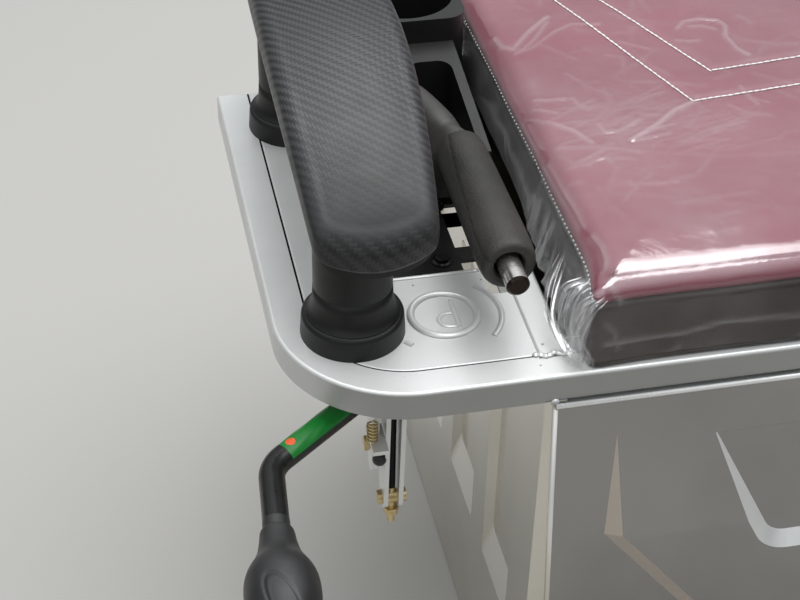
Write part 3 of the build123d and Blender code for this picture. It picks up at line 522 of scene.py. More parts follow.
def swell():
    points, _, _, depth, quads, last = cover_grid(coarse_x, coarse_y, coarse_depths)
    cover = mesh_piece("swell", points / 1000, quads + [last.tolist()])
    cover.vertex_groups.new(name="held").add([int(i) for i in last], 1.0, "REPLACE")
    cloth = cover.modifiers.new("cloth", "CLOTH")
    cloth.settings.use_pressure = True
    cloth.settings.uniform_pressure_force = 4.0
    cloth.settings.vertex_group_mass = "held"
    cloth.settings.quality = 6
    cloth.settings.effector_weights.gravity = 0.0
    cloth.point_cache.frame_start, cloth.point_cache.frame_end = 1, cloth_steps
    for step in range(1, cloth_steps + 1):
        bpy.context.scene.frame_set(step)
    made = cover.evaluated_get(bpy.context.evaluated_depsgraph_get()).to_mesh()
    after = np.empty(len(points) * 3, np.float32)
    made.vertices.foreach_get("co", after)
    moved = after.reshape(-1, 3) * 1000 - points
    bpy.data.objects.remove(cover)
    bpy.context.scene.frame_set(1)
    size = np.linalg.norm(moved, axis=1, keepdims=True)
    print("cushion swell before the cap, mm:", round(float(size.max()), 1))
    return moved * swell_cap / (swell_cap + size)


swelled = swell()
coarse_top = (coarse_x + 1) * (coarse_y + 1)
swell_top = swelled[:coarse_top].reshape(coarse_x + 1, coarse_y + 1, 3)
swell_side = np.concatenate([border(swell_top)[None], swelled[coarse_top:].reshape(len(coarse_depths), -1, 3)])
swell_side = np.concatenate([swell_side, swell_side[:, :1]], axis=1)


def between(field, rows, cols):
    """Bilinear value of a grid of vectors at fractional rows and columns."""
    r, c = np.minimum(rows.astype(int), len(field) - 2), np.minimum(cols.astype(int), field.shape[1] - 2)
    fr, fc = (rows - r)[:, None], (cols - c)[:, None]
    near, far = (field[r + k, c] * (1 - fc) + field[r + k, c + 1] * fc for k in (0, 1))
    return near * (1 - fr) + far * fr


def on_grid(xy, nx, ny):
    """Fractional row and column of plan points in a grid of nx by ny quads over the cushion."""
    return (xy[:, 0] + cushion_x) / (2 * cushion_x) * nx, (xy[:, 1] + cushion_y) / (2 * cushion_y) * ny


# %% [markdown]
# The cover is sewn from a top panel that rolls over the edge and a side band. At the seam it tucks in by
# 2.2 exp(-((z - 45) / 1.6)^2), the roll above and the band below swell a little, a mitre is folded in at
# each corner, the front bulges low down, and two stitched lines press the top panel down. The same
# function, standing off by a millimetre, gives the film over it.

# %% Cushion cover
seam_depth = cushion_high - seam_z
seam_tuck, front_bulge, ear_out, ear_forward = 2.2, 5.0, 6.0, 2.0
cover_depths = np.concatenate([
    np.linspace(0, seam_depth - 3.4, 9)[1:], seam_depth + np.array([-2.4, -1.6, -0.8, 0, 0.8, 1.6, 2.4, 3.4]),
    np.linspace(seam_depth + 3.4, cushion_high - cushion_low, 14)[1:],
])
stitch_paths = []
for corners in ([(-191, 171), (-130, -8), (0, 6)], [(-163, 171), (-104, 29), (0, 39)]):
    line = np.array(corners, float)
    stitch_paths.append(np.concatenate([line, line[-2::-1] * [-1.0, 1.0]]))


def line_distance(points, path):
    """Distance of plan points to a path of straight runs."""
    best = np.full(len(points), 1e9)
    for a, b in zip(path[:-1], path[1:]):
        share = np.clip(((points - a) @ (b - a)) / max((b - a) @ (b - a), 1e-9), 0, 1)
        best = np.minimum(best, np.linalg.norm(points - a - share[:, None] * (b - a), axis=1))
    return best


def cover_shape(nx, ny, depths, stand_off=0.0):
    """Sewn cover moved out by stand_off; a stood-off cover bridges the seam and the stitched lines."""
    points, outward, xy, depth, quads, last = cover_grid(nx, ny, depths)
    top = depth == 0
    moves = np.empty_like(points)
    moves[top] = between(swell_top, *on_grid(xy[top], coarse_x, coarse_y))
    starts = (0, coarse_x, coarse_x + coarse_y, 2 * coarse_x + coarse_y)
    sides = zip(starts, (nx, ny, nx, ny), (coarse_x, coarse_y, coarse_x, coarse_y))
    spot = np.concatenate([start + np.arange(n) / n * coarse for start, n, coarse in sides])
    moves[~top] = between(swell_side, depth[~top] / coarse_depths[0], np.tile(spot, len(depths)))
    x, y, z = points.T
    inside = np.clip((np.minimum(cushion_x - abs(xy[:, 0]), cushion_y - abs(xy[:, 1])) - 6) / 40, 0, 1)
    press = sum(1.3 * np.exp(-((line_distance(xy, path) / 3.0) ** 2)) for path in stitch_paths)
    soft = 0.6 * np.sin(x / 41 + 1.3 * np.sin(y / 57)) * np.sin(y / 37 + 0.7)
    run = np.arctan2(y, x)
    tuck = -seam_tuck * np.exp(-(((z - seam_z) / 1.6) ** 2))
    bulge = 1.4 * np.exp(-(((z - seam_z - 7) / 5) ** 2))
    band = 1.3 * np.sin(np.pi * np.clip((z - cushion_low) / (seam_z - cushion_low), 0, 1)) ** 0.7 * (z < seam_z)
    wander = 0.5 * np.sin(9 * run + z / 13) * np.sin(5 * run + 1)
    kept = 0.35 if stand_off else 1.0
    corner_run = np.where(abs(xy[:, 1]) > cushion_y - 1e-6, cushion_x - abs(xy[:, 0]), cushion_y - abs(xy[:, 1]))
    mitre = line_distance(np.stack([corner_run, depth], 1), np.array([(1.0, -3.0), (13.0, seam_depth)]))
    fold = -1.8 * np.exp(-((mitre / 1.5) ** 2)) * (depth < seam_depth)
    push = (kept * (tuck + fold) + bulge + band + wander - 0.4) * np.hypot(outward[:, 0], outward[:, 1]) ** 2
    low = np.clip((seam_z + 4 - z) / seam_z, 0, 1) * (xy[:, 1] < 0)
    push = push + front_bulge * low * np.clip(-outward[:, 1], 0, 1) ** 4
    from_corner = np.hypot(cushion_x - abs(xy[:, 0]), cushion_y + xy[:, 1])
    ear = np.exp(-((from_corner / 20) ** 2)) * np.clip(depth / 10, 0, 1)
    shaped = points + moves + outward * (push + stand_off)[:, None]
    shaped[:, 0] += ear_out * np.sign(x) * ear
    shaped[:, 1] -= ear_forward * ear
    shaped[:, 2] += (soft - kept * press) * inside
    return shaped, outward, xy, depth, quads, last


cover_nx, cover_ny = 200, 150
cover, cover_out, cover_xy, cover_depth, cover_quads, hem_ring = cover_shape(cover_nx, cover_ny, cover_depths)
cover_around = len(hem_ring)
hem_turn, lid_height = 3.2, 12.9 - cushion_low
sunk = cover[hem_ring] - np.concatenate([cover_out[hem_ring, :2] * hem_turn, np.zeros((cover_around, 1))], axis=1)
extra = len(cover) + np.arange(cover_around)
below_uv = np.tile([0.0, 60.0], (2 * cover_around, 1))
cushion = mesh_piece(
    "cushion", seat_place(np.concatenate([cover, sunk, sunk + [0, 0, lid_height]])),
    cover_quads + wall(hem_ring, extra) + wall(extra, extra + cover_around) + [(extra + cover_around).tolist()],
    np.concatenate([np.stack([cover_xy[:, 0], cover_depth], axis=1), below_uv]) / 1000,
)
print("cushion top mm above the rim", round(float(cover[:, 2].max()), 1))

# %% [markdown]
# The cover is imitation leather in two colours. Its UV holds the depth below the top edge, so the seam
# splits the burgundy top from the brown-black band wherever the cover has moved to.

# %% Cushion leather
leather = finish("cushion_leather")
below_seam = maths("GREATER_THAN", part_of(place("UV"), "Y"), seam_depth / 1000)
cloudy = noise(7.0, 3.0)
top_colour = ramp(cloudy, (0.3, (0.205, 0.058, 0.080)), (0.7, (0.25, 0.078, 0.102)))
band_colour = ramp(cloudy, (0.3, (0.014, 0.009, 0.0075)), (0.7, (0.034, 0.02, 0.0165)))
pores = add("TexVoronoi", {"Vector": place(), "Scale": 900.0}).outputs["Distance"]
plug(
    Base_Color=blend_colour(below_seam, top_colour, band_colour),
    Roughness=ramp(noise(55.0, 3.0), (0.3, 0.36), (0.7, 0.5)),
    Normal=bump(pores, 0.00015, 0.35),
)
wear(cushion, leather, "seat", "seat_cushion")

# %% [markdown]
# The threads are small rounded dashes set along the sewn lines, hundreds of them in one mesh. Each is a
# barrel of five rings of six points, turned to its line's direction.

# %% Stitches
def dashes(name, centres, ways, ups, length, width, height):
    """Barrels: ring radius is sqrt(1 - 0.75 u^2) for u from -1 to 1 along each dash."""
    u = np.linspace(-1, 1, 5)[:, None]
    t = np.linspace(0, 2 * np.pi, 6, endpoint=False)[None]
    wide = np.sqrt(1 - 0.75 * u**2)
    unit = joined(u, wide * np.cos(t), wide * np.sin(t)).reshape(-1, 3)
    sides = np.cross(ups, ways)
    frames = np.stack([ways * length / 2, sides * width / 2, ups * height / 2], axis=1)
    points = centres[:, None] + np.einsum("pk,nkc->npc", unit, frames)
    shift = unit.shape[0] * np.arange(len(centres))[:, None]
    faces = (grid_quads(5, 6, around=True).ravel() + shift).reshape(-1, 4).tolist()
    faces += (np.arange(6)[::-1] + shift).tolist() + (np.arange(24, 30) + shift).tolist()
    return mesh_piece(name, seat_place(points), faces)


def along_path(path, pitch):
    """Places every pitch along a path of straight runs, with the direction at each."""
    run = run_along(path)
    spots = np.arange(pitch / 2, run[-1], pitch)
    part = np.clip(np.searchsorted(run, spots) - 1, 0, len(run) - 2)
    ways = np.diff(path, axis=0)[part] / np.diff(run)[part, None]
    return path[part] + ways * (spots - run[part])[:, None], ways


cover_points = (cover_nx + 1) * (cover_ny + 1)
cover_top = cover[:cover_points].reshape(cover_nx + 1, cover_ny + 1, 3)
stitch_pitch, seam_pitch = 5.0, 4.5
spots, ways = (np.concatenate(rows) for rows in zip(*(along_path(path, stitch_pitch) for path in stitch_paths)))
thread_centres = between(cover_top, *on_grid(spots, cover_nx, cover_ny)) + [0, 0, 0.6]
thread_ways = np.concatenate([ways, np.zeros((len(ways), 1))], axis=1)
upwards = np.tile([0.0, 0, 1], (len(ways), 1))
top_threads = dashes("top_threads", thread_centres, thread_ways, upwards, 5.0, 1.6, 1.1)

seam_row = cover_points + int(np.argmin(abs(cover_depths - seam_depth))) * cover_around
seam_ring = cover[seam_row : seam_row + cover_around]
seam_centres, seam_ways = along_path(np.concatenate([seam_ring, seam_ring[:1]]), seam_pitch)
seam_ups = np.stack([seam_ways[:, 1], -seam_ways[:, 0], 0 * seam_ways[:, 0]], axis=1)
seam_ups /= np.linalg.norm(seam_ups, axis=1, keepdims=True)
at_side = abs(seam_ups[:, 0]) > 0.7
seam_centres, seam_ways, seam_ups = seam_centres[at_side], seam_ways[at_side], seam_ups[at_side]
seam_centres = seam_centres + seam_ups * 2.6 + [0, 0, 2.6]
seam_threads = dashes("seam_threads", seam_centres, seam_ways, seam_ups, 2.0, 1.0, 1.0)
thread = finish("sewing_thread")
twist = add("TexWave", {"Vector": place(), "Scale": 900.0, "Distortion": 1.0}).outputs["Fac"]
plug(Base_Color=ramp(twist, (0.0, (0.82, 0.8, 0.8)), (1.0, (0.95, 0.93, 0.93))), Roughness=0.7)
for piece in (top_threads, seam_threads):
    wear(piece, thread, "seat")
print("stitches", len(thread_centres), "on top and", len(seam_centres), "in the seam")

# %% [markdown]
# A clear protective film is still on the seat. It is one thin sheet stretched over the cover, and what
# shows of it is its creases: each crease is a short path of points, raised by h exp(-(d / w)^2) for the
# distance d to the path. A seeded scatter of small ones fills the parts where no crease stands out.

# %% Film
film_creases = [  # height, half width, plan points in the cushion's frame
    (1.9, 2.6, [(-240, 101), (-238, 86), (-232, 79), (-216, 99), (-196, 118)]),
    (1.5, 2.2, [(-232, 79), (-225, 77), (-213, 90), (-198, 111)]),
    (1.3, 2.0, [(-232, 73), (-217, 79), (-197, 96), (-182, 105), (-162, 102)]),
    (1.6, 2.4, [(-230, -20), (-220, -31), (-213, -47)]),
    (1.2, 2.2, [(-202, -27), (-201, -37), (-190, -37), (-174, -27)]),
    (2.0, 2.6, [(-186, -49), (-163, -34), (-147, -20), (-131, -12)]),
    (1.4, 2.0, [(-186, -49), (-167, -39), (-153, -36)]),
    (1.2, 1.8, [(-186, -51), (-173, -48), (-159, -46)]),
    (1.0, 2.0, [(-226, -66), (-215, -61), (-207, -56)]),
    (1.0, 1.8, [(-214, -66), (-208, -65), (-207, -72)]),
    (0.9, 2.0, [(-210, 7), (-208, -3), (-203, -8)]),
    (1.2, 1.9, [(-235, 12), (-227, 9), (-215, 8)]),
    (1.2, 1.9, [(-239, 3), (-232, -3), (-224, -8)]),
    (1.1, 1.8, [(-243, -5), (-236, -15), (-226, -22)]),
    (0.8, 2.6, [(-236, -47), (-210, -53), (-186, -62)]),
    (0.35, 2.4, [(-217, -54), (-174, -66), (-124, -78), (-84, -82)]),
    (0.3, 2.4, [(-252, -98), (-201, -108), (-155, -126), (-115, -140)]),
    (1.7, 2.2, [(-108, 86), (-101, 94), (-88, 96), (-76, 92), (-73, 83), (-78, 69), (-76, 51), (-71, 42)]),
    (1.2, 2.0, [(-114, 70), (-106, 67), (-99, 67)]),
    (1.2, 2.0, [(-99, 87), (-89, 86), (-82, 80)]),
    (1.0, 2.0, [(-154, 74), (-144, 66), (-137, 61)]),
    (1.3, 2.0, [(-92, 2), (-91, -14), (-89, -22)]),
    (1.1, 1.8, [(-91, -14), (-81, -21)]),
    (0.9, 1.8, [(-109, -20), (-103, -27)]),
    (1.6, 2.6, [(-246, -58), (-245, -78), (-244, -97), (-243, -113), (-243, -128)]),
    (1.3, 2.2, [(-246, -2), (-246, -21), (-245, -39)]),
    (1.5, 2.4, [(-241, -141), (-239, -153), (-240, -165), (-243, -172)]),
]
band_creases = [  # height, half width, then across the front (x, z), or along the right side (y, z)
    (1.8, 2.6, 1, [(-245, 18), (-222, 18), (-197, 18), (-169, 23), (-147, 22), (-121, 21), (-60, 17), (10, 20)]),
    (1.2, 2.0, 1, [(-128, -4), (-125, 2), (-118, 8)]),
    (1.2, 2.2, 1, [(-246, 33), (-240, 26), (-236, 12)]),
    (1.1, 3.0, 1, [(-214, 3), (-203, 5), (-197, 9)]),
    (2.4, 2.2, 1, [(-246, 60), (-241, 52), (-236, 45)]),
    (1.4, 2.2, 0, [(27, 22), (22, 14), (16, 4)]),
    (1.4, 2.4, 0, [(-86, 28), (-94, 22), (-105, 15)]),
    (1.6, 2.4, 0, [(-92, 30), (-92, 18), (-89, 6)]),
    (1.5, 2.4, 0, [(-112, 6), (-129, 14), (-152, 35), (-168, 48)]),
]
film_depths = np.linspace(0, cushion_high - 6.0, 24)[1:]
film_nx, film_ny, stand_off = 300, 225, 1.3
film, film_out, film_xy, film_depth, film_quads, _ = cover_shape(film_nx, film_ny, film_depths, stand_off)
ridges = np.zeros(len(film))


def raised(height, spread):
    """The ridges with one crease more, where h exp(-s^2) stands higher than they do."""
    return np.maximum(ridges, height * np.exp(-(spread**2)))


for height, width, path in film_creases:
    ridges = raised(0.42 * height, line_distance(film[:, :2], np.array(path, float)) / width)
for height, width, across, path in band_creases:
    beside = film_out[:, across] < -0.7
    spread = line_distance(film[:, [1 - across, 2]], np.array(path, float))
    ridges = raised(0.4 * height * beside, spread / (0.6 * width))
scatter = np.random.default_rng(11)
small_creases = (  # how many, field, draw of the turn, range of lengths, bend, greatest height, widths
    (170, ([-235, -175], [235, 175]), (scatter.uniform, 0, np.pi), (12, 55), 5.0, 0.3, (1.6, 3)),
    (80, ([-238, -72], [-120, -2]), (scatter.normal, 0.2, 0.22), (10, 45), 1.5, 0.34, (1.1, 2)),
)
for count, field, (draw, *turns), lengths, bend, tallest, widths in small_creases:
    for _ in range(count):
        start = scatter.uniform(*field)
        way, length = draw(*turns), scatter.uniform(*lengths)
        tip = start + length * np.array([np.cos(way), np.sin(way)])
        path = np.array([start, (start + tip) / 2 + scatter.normal(0, bend, 2), tip])
        height = scatter.uniform(0.08, tallest)
        ridges = raised(height, line_distance(film[:, :2], path) / scatter.uniform(*widths))
x, y, z = film.T
slack = 0.2 * np.sin(x / 9 + 2 * np.sin(y / 23)) * np.sin(y / 14 + 1.5 * np.sin(x / 31))
side_slack = np.where(film_depth > 8, 0.5 * np.sin(film_xy.sum(axis=1) / 6.0 + z / 9), 0.0)
level = film_out[:, 2]
flare = np.clip((46 - z) / 40, 0, 1) ** 1.5 * np.clip((-20 - film_xy[:, 1]) / 90, 0, 1) * (film_out[:, 0] < -0.5)
wave = 3.0 * np.sin(film_xy[:, 1] / 5 + z / 12) + 2.0 * np.sin(film_xy[:, 1] / 2.3)
side_slack = side_slack + flare * (20 + wave)
film = film + film_out * (ridges + 0.5 * slack * level + 0.5 * side_slack * (1 - level))[:, None]
film_piece = mesh_piece("film", seat_place(film), film_quads, film_xy / 1000)
mark(film_piece, "crease", 0.8 * np.clip(ridges, 0, 1))
clear = finish("clear_film")
grazing = maths("POWER", add("LayerWeight", {"Blend": 0.5}).outputs["Facing"], 5.0)
patchy = ramp(noise(8.0, 4.0, 0.6), (0.4, 0.35), (0.65, 1.0))
# painted sheen: film that faces -X, the seat's right side, is whiter and less metallic
side_sheen = ramp(facing("-X"), (0.6, 0.0), (0.85, 1.0))
# whiter and less metallic along the creases: the film's own haze in its folds, and a painted highlight on them
crease_haze_and_sheen = add("Attribute", attribute_name="crease").outputs["Fac"]
# painted highlight: a whiter band where the film faces partly forward, over the front roll
front_roll_highlight = ramp(facing("-Y"), (0.2, 0.0), (0.32, 1.0), (0.66, 0.9), (0.88, 0.0))
past_side = maths("SUBTRACT", times(part_of(place(), "X"), -100.0), 25.32, True)
haze = times(past_side, noise(120.0, 4.0))
# the film's faint haze, whiter in broad patches on faces that look up as a painted sheen of the sky
film_veil_and_sheen = times(patchy, ramp(facing("Z"), (0.0, 0.06), (0.75, 0.18)))
for layer, share in ((side_sheen, 0.07), (crease_haze_and_sheen, 0.2), (front_roll_highlight, 0.1), (haze, 0.3), (grazing, 0.8)):
    film_veil_and_sheen = maths("ADD", film_veil_and_sheen, times(layer, share), True)
plug(
    Base_Color=(0.95, 0.95, 0.96),
    Metallic=ramp(maths("MAXIMUM", side_sheen, crease_haze_and_sheen), (0.0, 1.0), (1.0, 0.3)),
    Roughness=ramp(noise(22.0, 3.0), (0.3, 0.07), (0.8, 0.2)),
    Alpha=film_veil_and_sheen,
    Normal=bump(noise(85.0, 5.0, 0.62), 0.0006, 0.5),
)
wear(film_piece, clear, "seat")

# %% [markdown]
# The film's corners are folded flat, and at the front right corner three gathered bunches of it hang
# loose. Each is a narrow ribbon whose cross-section is a zigzag that opens towards its lower end.

# %% Film bunch
def film_strand(name, route, wide, pleat):
    """Ribbon along a smooth route: s goes along it and w across, and its pleats are
    p (0.4 + s) (sin(8.5 w + 3 s) + sin(17 w + 9 s) / 2)."""
    path = smooth_through(np.array(route, float), np.linspace(0, len(route) - 1, 80))
    s, w = np.linspace(0, 1, 80)[:, None], np.linspace(-1, 1, 49)[None]
    fold = pleat * (0.4 + s) * (np.sin(8.5 * w + 3 * s) + 0.5 * np.sin(17 * w + 9 * s))
    spread = wide * (0.5 + 0.7 * s + 0.15 * np.sin(8 * s))
    x = path[:, :1] + 0.5 * spread * w + 0.7 * fold
    y = path[:, 1:2] - 0.85 * spread * w + 0.5 * fold
    z = path[:, 2:] + 1.2 * np.sin(5 * w + 4 * s) + 0.3 * fold
    return wear(skin(name, seat_place(joined(x, y, z))), clear, "seat")


bunches = [film_strand("film_bunch_" + name, *strand) for name, *strand in (
    ("corner", [(-248, -188, 50), (-258, -191, 44), (-263, -192, 28), (-258, -191, 12), (-256, -190, 4)], 8, 1.6),
    ("side", [(-251, -168, 47), (-262, -171, 42), (-267, -178, 26), (-262, -184, 12), (-258, -187, 5)], 9, 1.8),
    ("back", [(-251, -120, 30), (-262, -138, 22), (-268, -156, 14), (-266, -172, 8), (-262, -182, 5)], 6, 1.4),
)]

# %% [markdown]
# The armrest is an arch of skinned foam. Its outline seen from above is widest at the middle and bowed at
# both ends. Each outline point has a partner on the pad's centre line, and the surface runs from one to
# the other over a rolled edge, so that the nose closes without a pole.

# %% Armrest form
rest_out, rest_front, rest_rear, rest_bow = 95.7, 32.0, 391.0, 9.0
rest_halves, rest_parting, rest_crown = (36.0, 44.4, 30.0), (68.0, 126.0, 68.0), (88.0, 150.0, 92.0)


def rest_arc(behind, values):
    """Circular arc through a front, middle and rear value over the armrest's length."""
    reach = (rest_rear - rest_front) / 2
    a, mid, c = values
    centre = (2 * reach**2 + a**2 + c**2 - 2 * mid**2) / (2 * (a + c - 2 * mid))
    across = (2 * centre * (a - mid) - reach**2 - a**2 + mid**2) / (2 * reach)
    run = behind - (rest_front + rest_rear) / 2
    return centre + np.sqrt(across**2 + (mid - centre) ** 2 - (run - across) ** 2)


def rest_half(behind):
    """Half width: the side arc, cut at both ends by a bow and rounded where the two meet."""
    side = rest_arc(np.clip(behind, rest_front + rest_bow, rest_rear - rest_bow), rest_halves)
    for gap, half in ((behind - rest_front, rest_halves[0]), (rest_rear - behind, rest_halves[2])):
        bow = half * np.sqrt(np.clip(gap, 0, None) / rest_bow)
        side = (side**-11.0 + np.maximum(bow, 1e-1) ** -11.0) ** (-1 / 11.0)
    return side


def rest_outline(count):
    """Closed outline in steps of equal length: distance to the centre line and distance behind the front."""
    share = np.sin(np.linspace(0, np.pi / 2, 400)) ** 2
    behind = rest_front + (rest_rear - rest_front) * np.sin(np.pi / 2 * share) ** 2
    behind = np.sort(np.concatenate([behind, rest_front + 30 * share**2, rest_rear - 24 * share**2]))
    half = rest_half(behind)
    half[[0, -1]] = 0.0
    loop = np.concatenate([np.stack([half, behind], 1), np.stack([-half, behind], 1)[-2:0:-1]])
    loop = np.concatenate([loop, loop[:1]])
    run = run_along(loop)
    spots = np.linspace(0, run[-1], count, endpoint=False)
    return np.stack([np.interp(spots, run, loop[:, 0]), np.interp(spots, run, loop[:, 1])], 1), spots


def armrest_pad(name, side):
    """Rolled edge: shoulder - h (1 - sqrt(1 - (1 - d / 11)^2)) for an inset d; dome: 3.5 (1 - (1 - q)^2)."""
    edge, spots = rest_outline(420)
    rolled, domed, dome_rise = 11, 89, 3.5
    middle = np.stack([0 * edge[:, 0], np.clip(edge[:, 1], rest_front + 40, rest_rear - 34)], 1)
    span = np.linalg.norm(middle - edge, axis=1)
    first_turn = rolled * (1 - np.cos(np.linspace(0, np.pi / 2, 12)))
    insets = np.concatenate([first_turn, np.linspace(rolled, rolled + domed, 17)[1:]])
    rows = []
    for inset in insets:
        inner = rolled / span + (1 - rolled / span) * (inset - rolled) / domed
        share = np.where(inset <= rolled, inset / span, inner)
        plan = edge + (middle - edge) * share[:, None]
        crown, parting = rest_arc(plan[:, 1], rest_crown), rest_arc(plan[:, 1], rest_parting)
        shoulder = crown - dome_rise
        flank = parting + 0.45 * (crown - parting)
        roll = (shoulder - flank) * (1 - np.sqrt(1 - (1 - min(inset, rolled) / rolled) ** 2))
        dome = dome_rise * (1 - (1 - max(inset - rolled, 0) / domed) ** 2)
        rows.append(np.concatenate([plan, (shoulder - roll + dome)[:, None]], 1))
    flank, parting = rows[0][:, 2], rest_arc(edge[:, 1], rest_parting)
    walls = [
        np.concatenate([edge * [1 + 0.012 * np.sin(np.pi * s), 1], (parting + (flank - parting) * s)[:, None]], 1)
        for s in np.linspace(0, 1, 7)[:-1]
    ]
    lip = np.concatenate([edge + (middle - edge) * (2.5 / span)[:, None], (parting + 0.35)[:, None]], 1)
    under = np.concatenate([middle, rest_arc(middle[:, 1], rest_parting)[:, None] + 0.35], 1)
    grid = np.stack([under, lip, *walls, *rows])
    depth = np.concatenate([[0], np.cumsum(np.linalg.norm(np.diff(grid, axis=0), axis=2).mean(axis=1))])
    uv = joined(spots, depth[:, None]) / 1000
    placed = at(rest_out + grid[..., 0], grid[..., 1], grid[..., 2])
    if side > 0:
        placed[..., 0] *= -1
        placed, uv = placed[:, ::-1], uv[:, ::-1]
    pad = skin(name, placed, around=True, uv=uv)
    work = bmesh.new()
    work.from_mesh(pad.data)
    bmesh.ops.remove_doubles(work, verts=work.verts, dist=1e-6)
    bmesh.ops.recalc_face_normals(work, faces=work.faces)
    work.to_mesh(pad.data)
    work.free()
    return pad


# %% [markdown]
# The skin has the look of woven carbon: a twill printed and pressed into it, two threads over and two
# under, each row shifted by one. It is read from the object's own coordinates, along and across the pad,
# and it fades where the skin was stretched smooth over the nose.

# %% Twill skin
twill = finish("twill_skin")


def weave(first, second, cell):
    """Which thread is on top, and the round of it: two over, two under, shifted by one each row."""
    a, b = times(first, 1 / cell), times(second, 1 / cell)
    step = maths("ADD", maths("FLOOR", a), maths("FLOOR", b))
    over = maths("LESS_THAN", maths("FLOORED_MODULO", step, 4.0), 1.9)
    rounds = [maths("SINE", times(maths("FRACT", run), math.pi)) for run in (a, b)]
    return over, blend(over, *rounds)


lengthwise, crosswise, upright = (part_of(place(), axis) for axis in "YXZ")
fine_over, fine_round = weave(lengthwise, maths("ADD", crosswise, upright), 0.0021)
bold_over, bold_round = weave(crosswise, upright, 0.0024)
on_nose = ramp(facing("-Y"), (0.66, 0.0), (0.8, 1.0))
kept = ramp(times(maths("ADD", lengthwise, 0.2), 5.0), (0.22, 0.1), (0.55, 1.0))
fine_shade = blend_colour(times(fine_over, kept), (0.011, 0.011, 0.012), (0.042, 0.042, 0.045))
bold_shade = blend_colour(bold_over, (0.001, 0.001, 0.001), (0.013, 0.013, 0.014))
dulled = ramp(noise(18.0, 4.0), (0.35, 0.0), (0.75, 0.35))
shades = blend_colour(on_nose, fine_shade, bold_shade)
plug(
    Base_Color=blend_colour(dulled, shades, (0.034, 0.034, 0.036)),
    Roughness=ramp(noise(45.0, 3.0), (0.3, 0.36), (0.75, 0.5)),
    Normal=bump(blend(on_nose, times(fine_round, kept), bold_round), 0.00014, 0.6),
)
for side, side_name in ((-1, "right"), (1, "left")):
    pad = armrest_pad("rest_skin_" + side_name, side)
    wear(pad, twill, "seat_base", "armrest_pad_" + side_name)
    print(pad.name, len(pad.data.polygons), "faces")

# %% [markdown]
# The lever's grip is a foam tube with a moulding seam, softly closed at its rear and open in front around
# the button. It is a profile turned about the lever's axis, and the seam is a narrow ridge on one side.

# %% Brake grip
grip_profile = np.array([  # distance in front of the grip's rear end, radius
    (0.2, 6.2), (0.0, 11.0), (0.2, 13.6), (1.2, 15.0), (3.5, 15.8), (12.0, 16.5), (35.0, 16.9), (60.0, 17.2),
    (90.0, 17.6), (112.0, 17.8), (122.0, 17.5), (127.0, 16.7), (129.3, 15.2), (129.9, 13.4), (129.6, 11.4),
    (128.4, 9.8), (125.0, 9.0), (119.0, 8.8), (112.0, 8.7),
])
grip_rear = 173.0
profile = smooth_through(grip_profile, np.linspace(0, len(grip_profile) - 1, 150))
turn_t = np.linspace(0, 2 * np.pi, 96, endpoint=False)
seam_at = np.radians(np.interp(profile[:, 0], [0, 45, 71, 101, 130], [31, 48, 54, 63, 66]))
off_seam = np.angle(np.exp(1j * (turn_t[None] - seam_at[:, None]))) * profile[:, 1:]
skin_side = np.linspace(0, 1, 150)[:, None] < 0.84
radius = profile[:, 1:] - skin_side * 0.5 * np.exp(-((off_seam / 0.7) ** 2))
grip_grid = at(15.0 + radius * np.sin(turn_t), grip_rear - profile[:, :1], 53.0 + radius * np.cos(turn_t))
grip_uv = joined(profile[:, :1] / 1000, turn_t * 0.017)
grip = skin("grip_foam_tube", grip_grid[:, ::-1], around=True, uv=grip_uv[:, ::-1])
mark(grip, "seam", (skin_side * np.exp(-((off_seam / 0.55) ** 2)))[:, ::-1])
foam = finish("grip_foam")
cells = add("TexVoronoi", {"Vector": place(), "Scale": 700.0}).outputs["Distance"]
worn = ramp(noise(26.0, 5.0), (0.35, 0.0), (0.75, 1.0))
foam_shade = blend_colour(worn, (0.017, 0.016, 0.015), (0.036, 0.033, 0.030))
in_seam = add("Attribute", attribute_name="seam").outputs["Fac"]
plug(
    Base_Color=blend_colour(in_seam, foam_shade, (0.003, 0.003, 0.003)),
    Roughness=ramp(noise(60.0, 3.0), (0.3, 0.5), (0.7, 0.66)),
    Normal=bump(cells, 0.0003, 0.6),
)
wear(grip, foam, "brake_lever", "brake_grip")

# %% [markdown]
# Behind the grip a soft rubber neck hides the lever's bend. Its sections are upright ovals, and a smooth
# curve through their eight sets of sizes carries the surface from one to the next.

# %% Neck
neck_table = np.array([  # distance behind the grip's rear end, outboard, height, half width, half height
    (0.0, 15.8, 51.0, 14.0, 16.0), (7.0, 18.5, 44.0, 14.0, 23.0), (12.0, 21.0, 46.5, 14.0, 20.0),
    (17.0, 23.0, 54.5, 13.0, 13.5), (27.0, 26.0, 57.0, 13.0, 13.0), (52.0, 34.0, 59.0, 12.0, 12.0),
    (63.0, 38.5, 60.0, 10.0, 10.5), (74.0, 43.0, 60.0, 7.6, 9.0),
])
neck = smooth_through(neck_table, np.linspace(0, 7, 90))
end_cap = np.array([1.0, 1.0, 1.0, 0.35, 0.35])
neck = np.concatenate([neck[:1] * end_cap, neck, neck[-1:] * [1, 1, 1, 0.8, 0.8], neck[-1:] * end_cap])
behind, outboard, height, half_wide, half_high = (neck[:, k : k + 1] for k in range(5))
t = np.linspace(0, 2 * np.pi, 72, endpoint=False)
neck_grid = at(outboard + half_wide * np.sin(t), grip_rear + behind, height + half_high * np.cos(t))
neck_piece = skin("lever_neck", neck_grid, around=True, caps=True)
wear(neck_piece, sleeve_rubber, "brake_lever", "brake_sleeve")

# %% [markdown]
# The range lever's knob is one soft plastic bulb on a straight neck, with an oval groove pressed into its
# top. It is a profile turned about the rod's last run, and the groove follows the distance to an oval in
# the surface's own measures: along the knob, and around it.

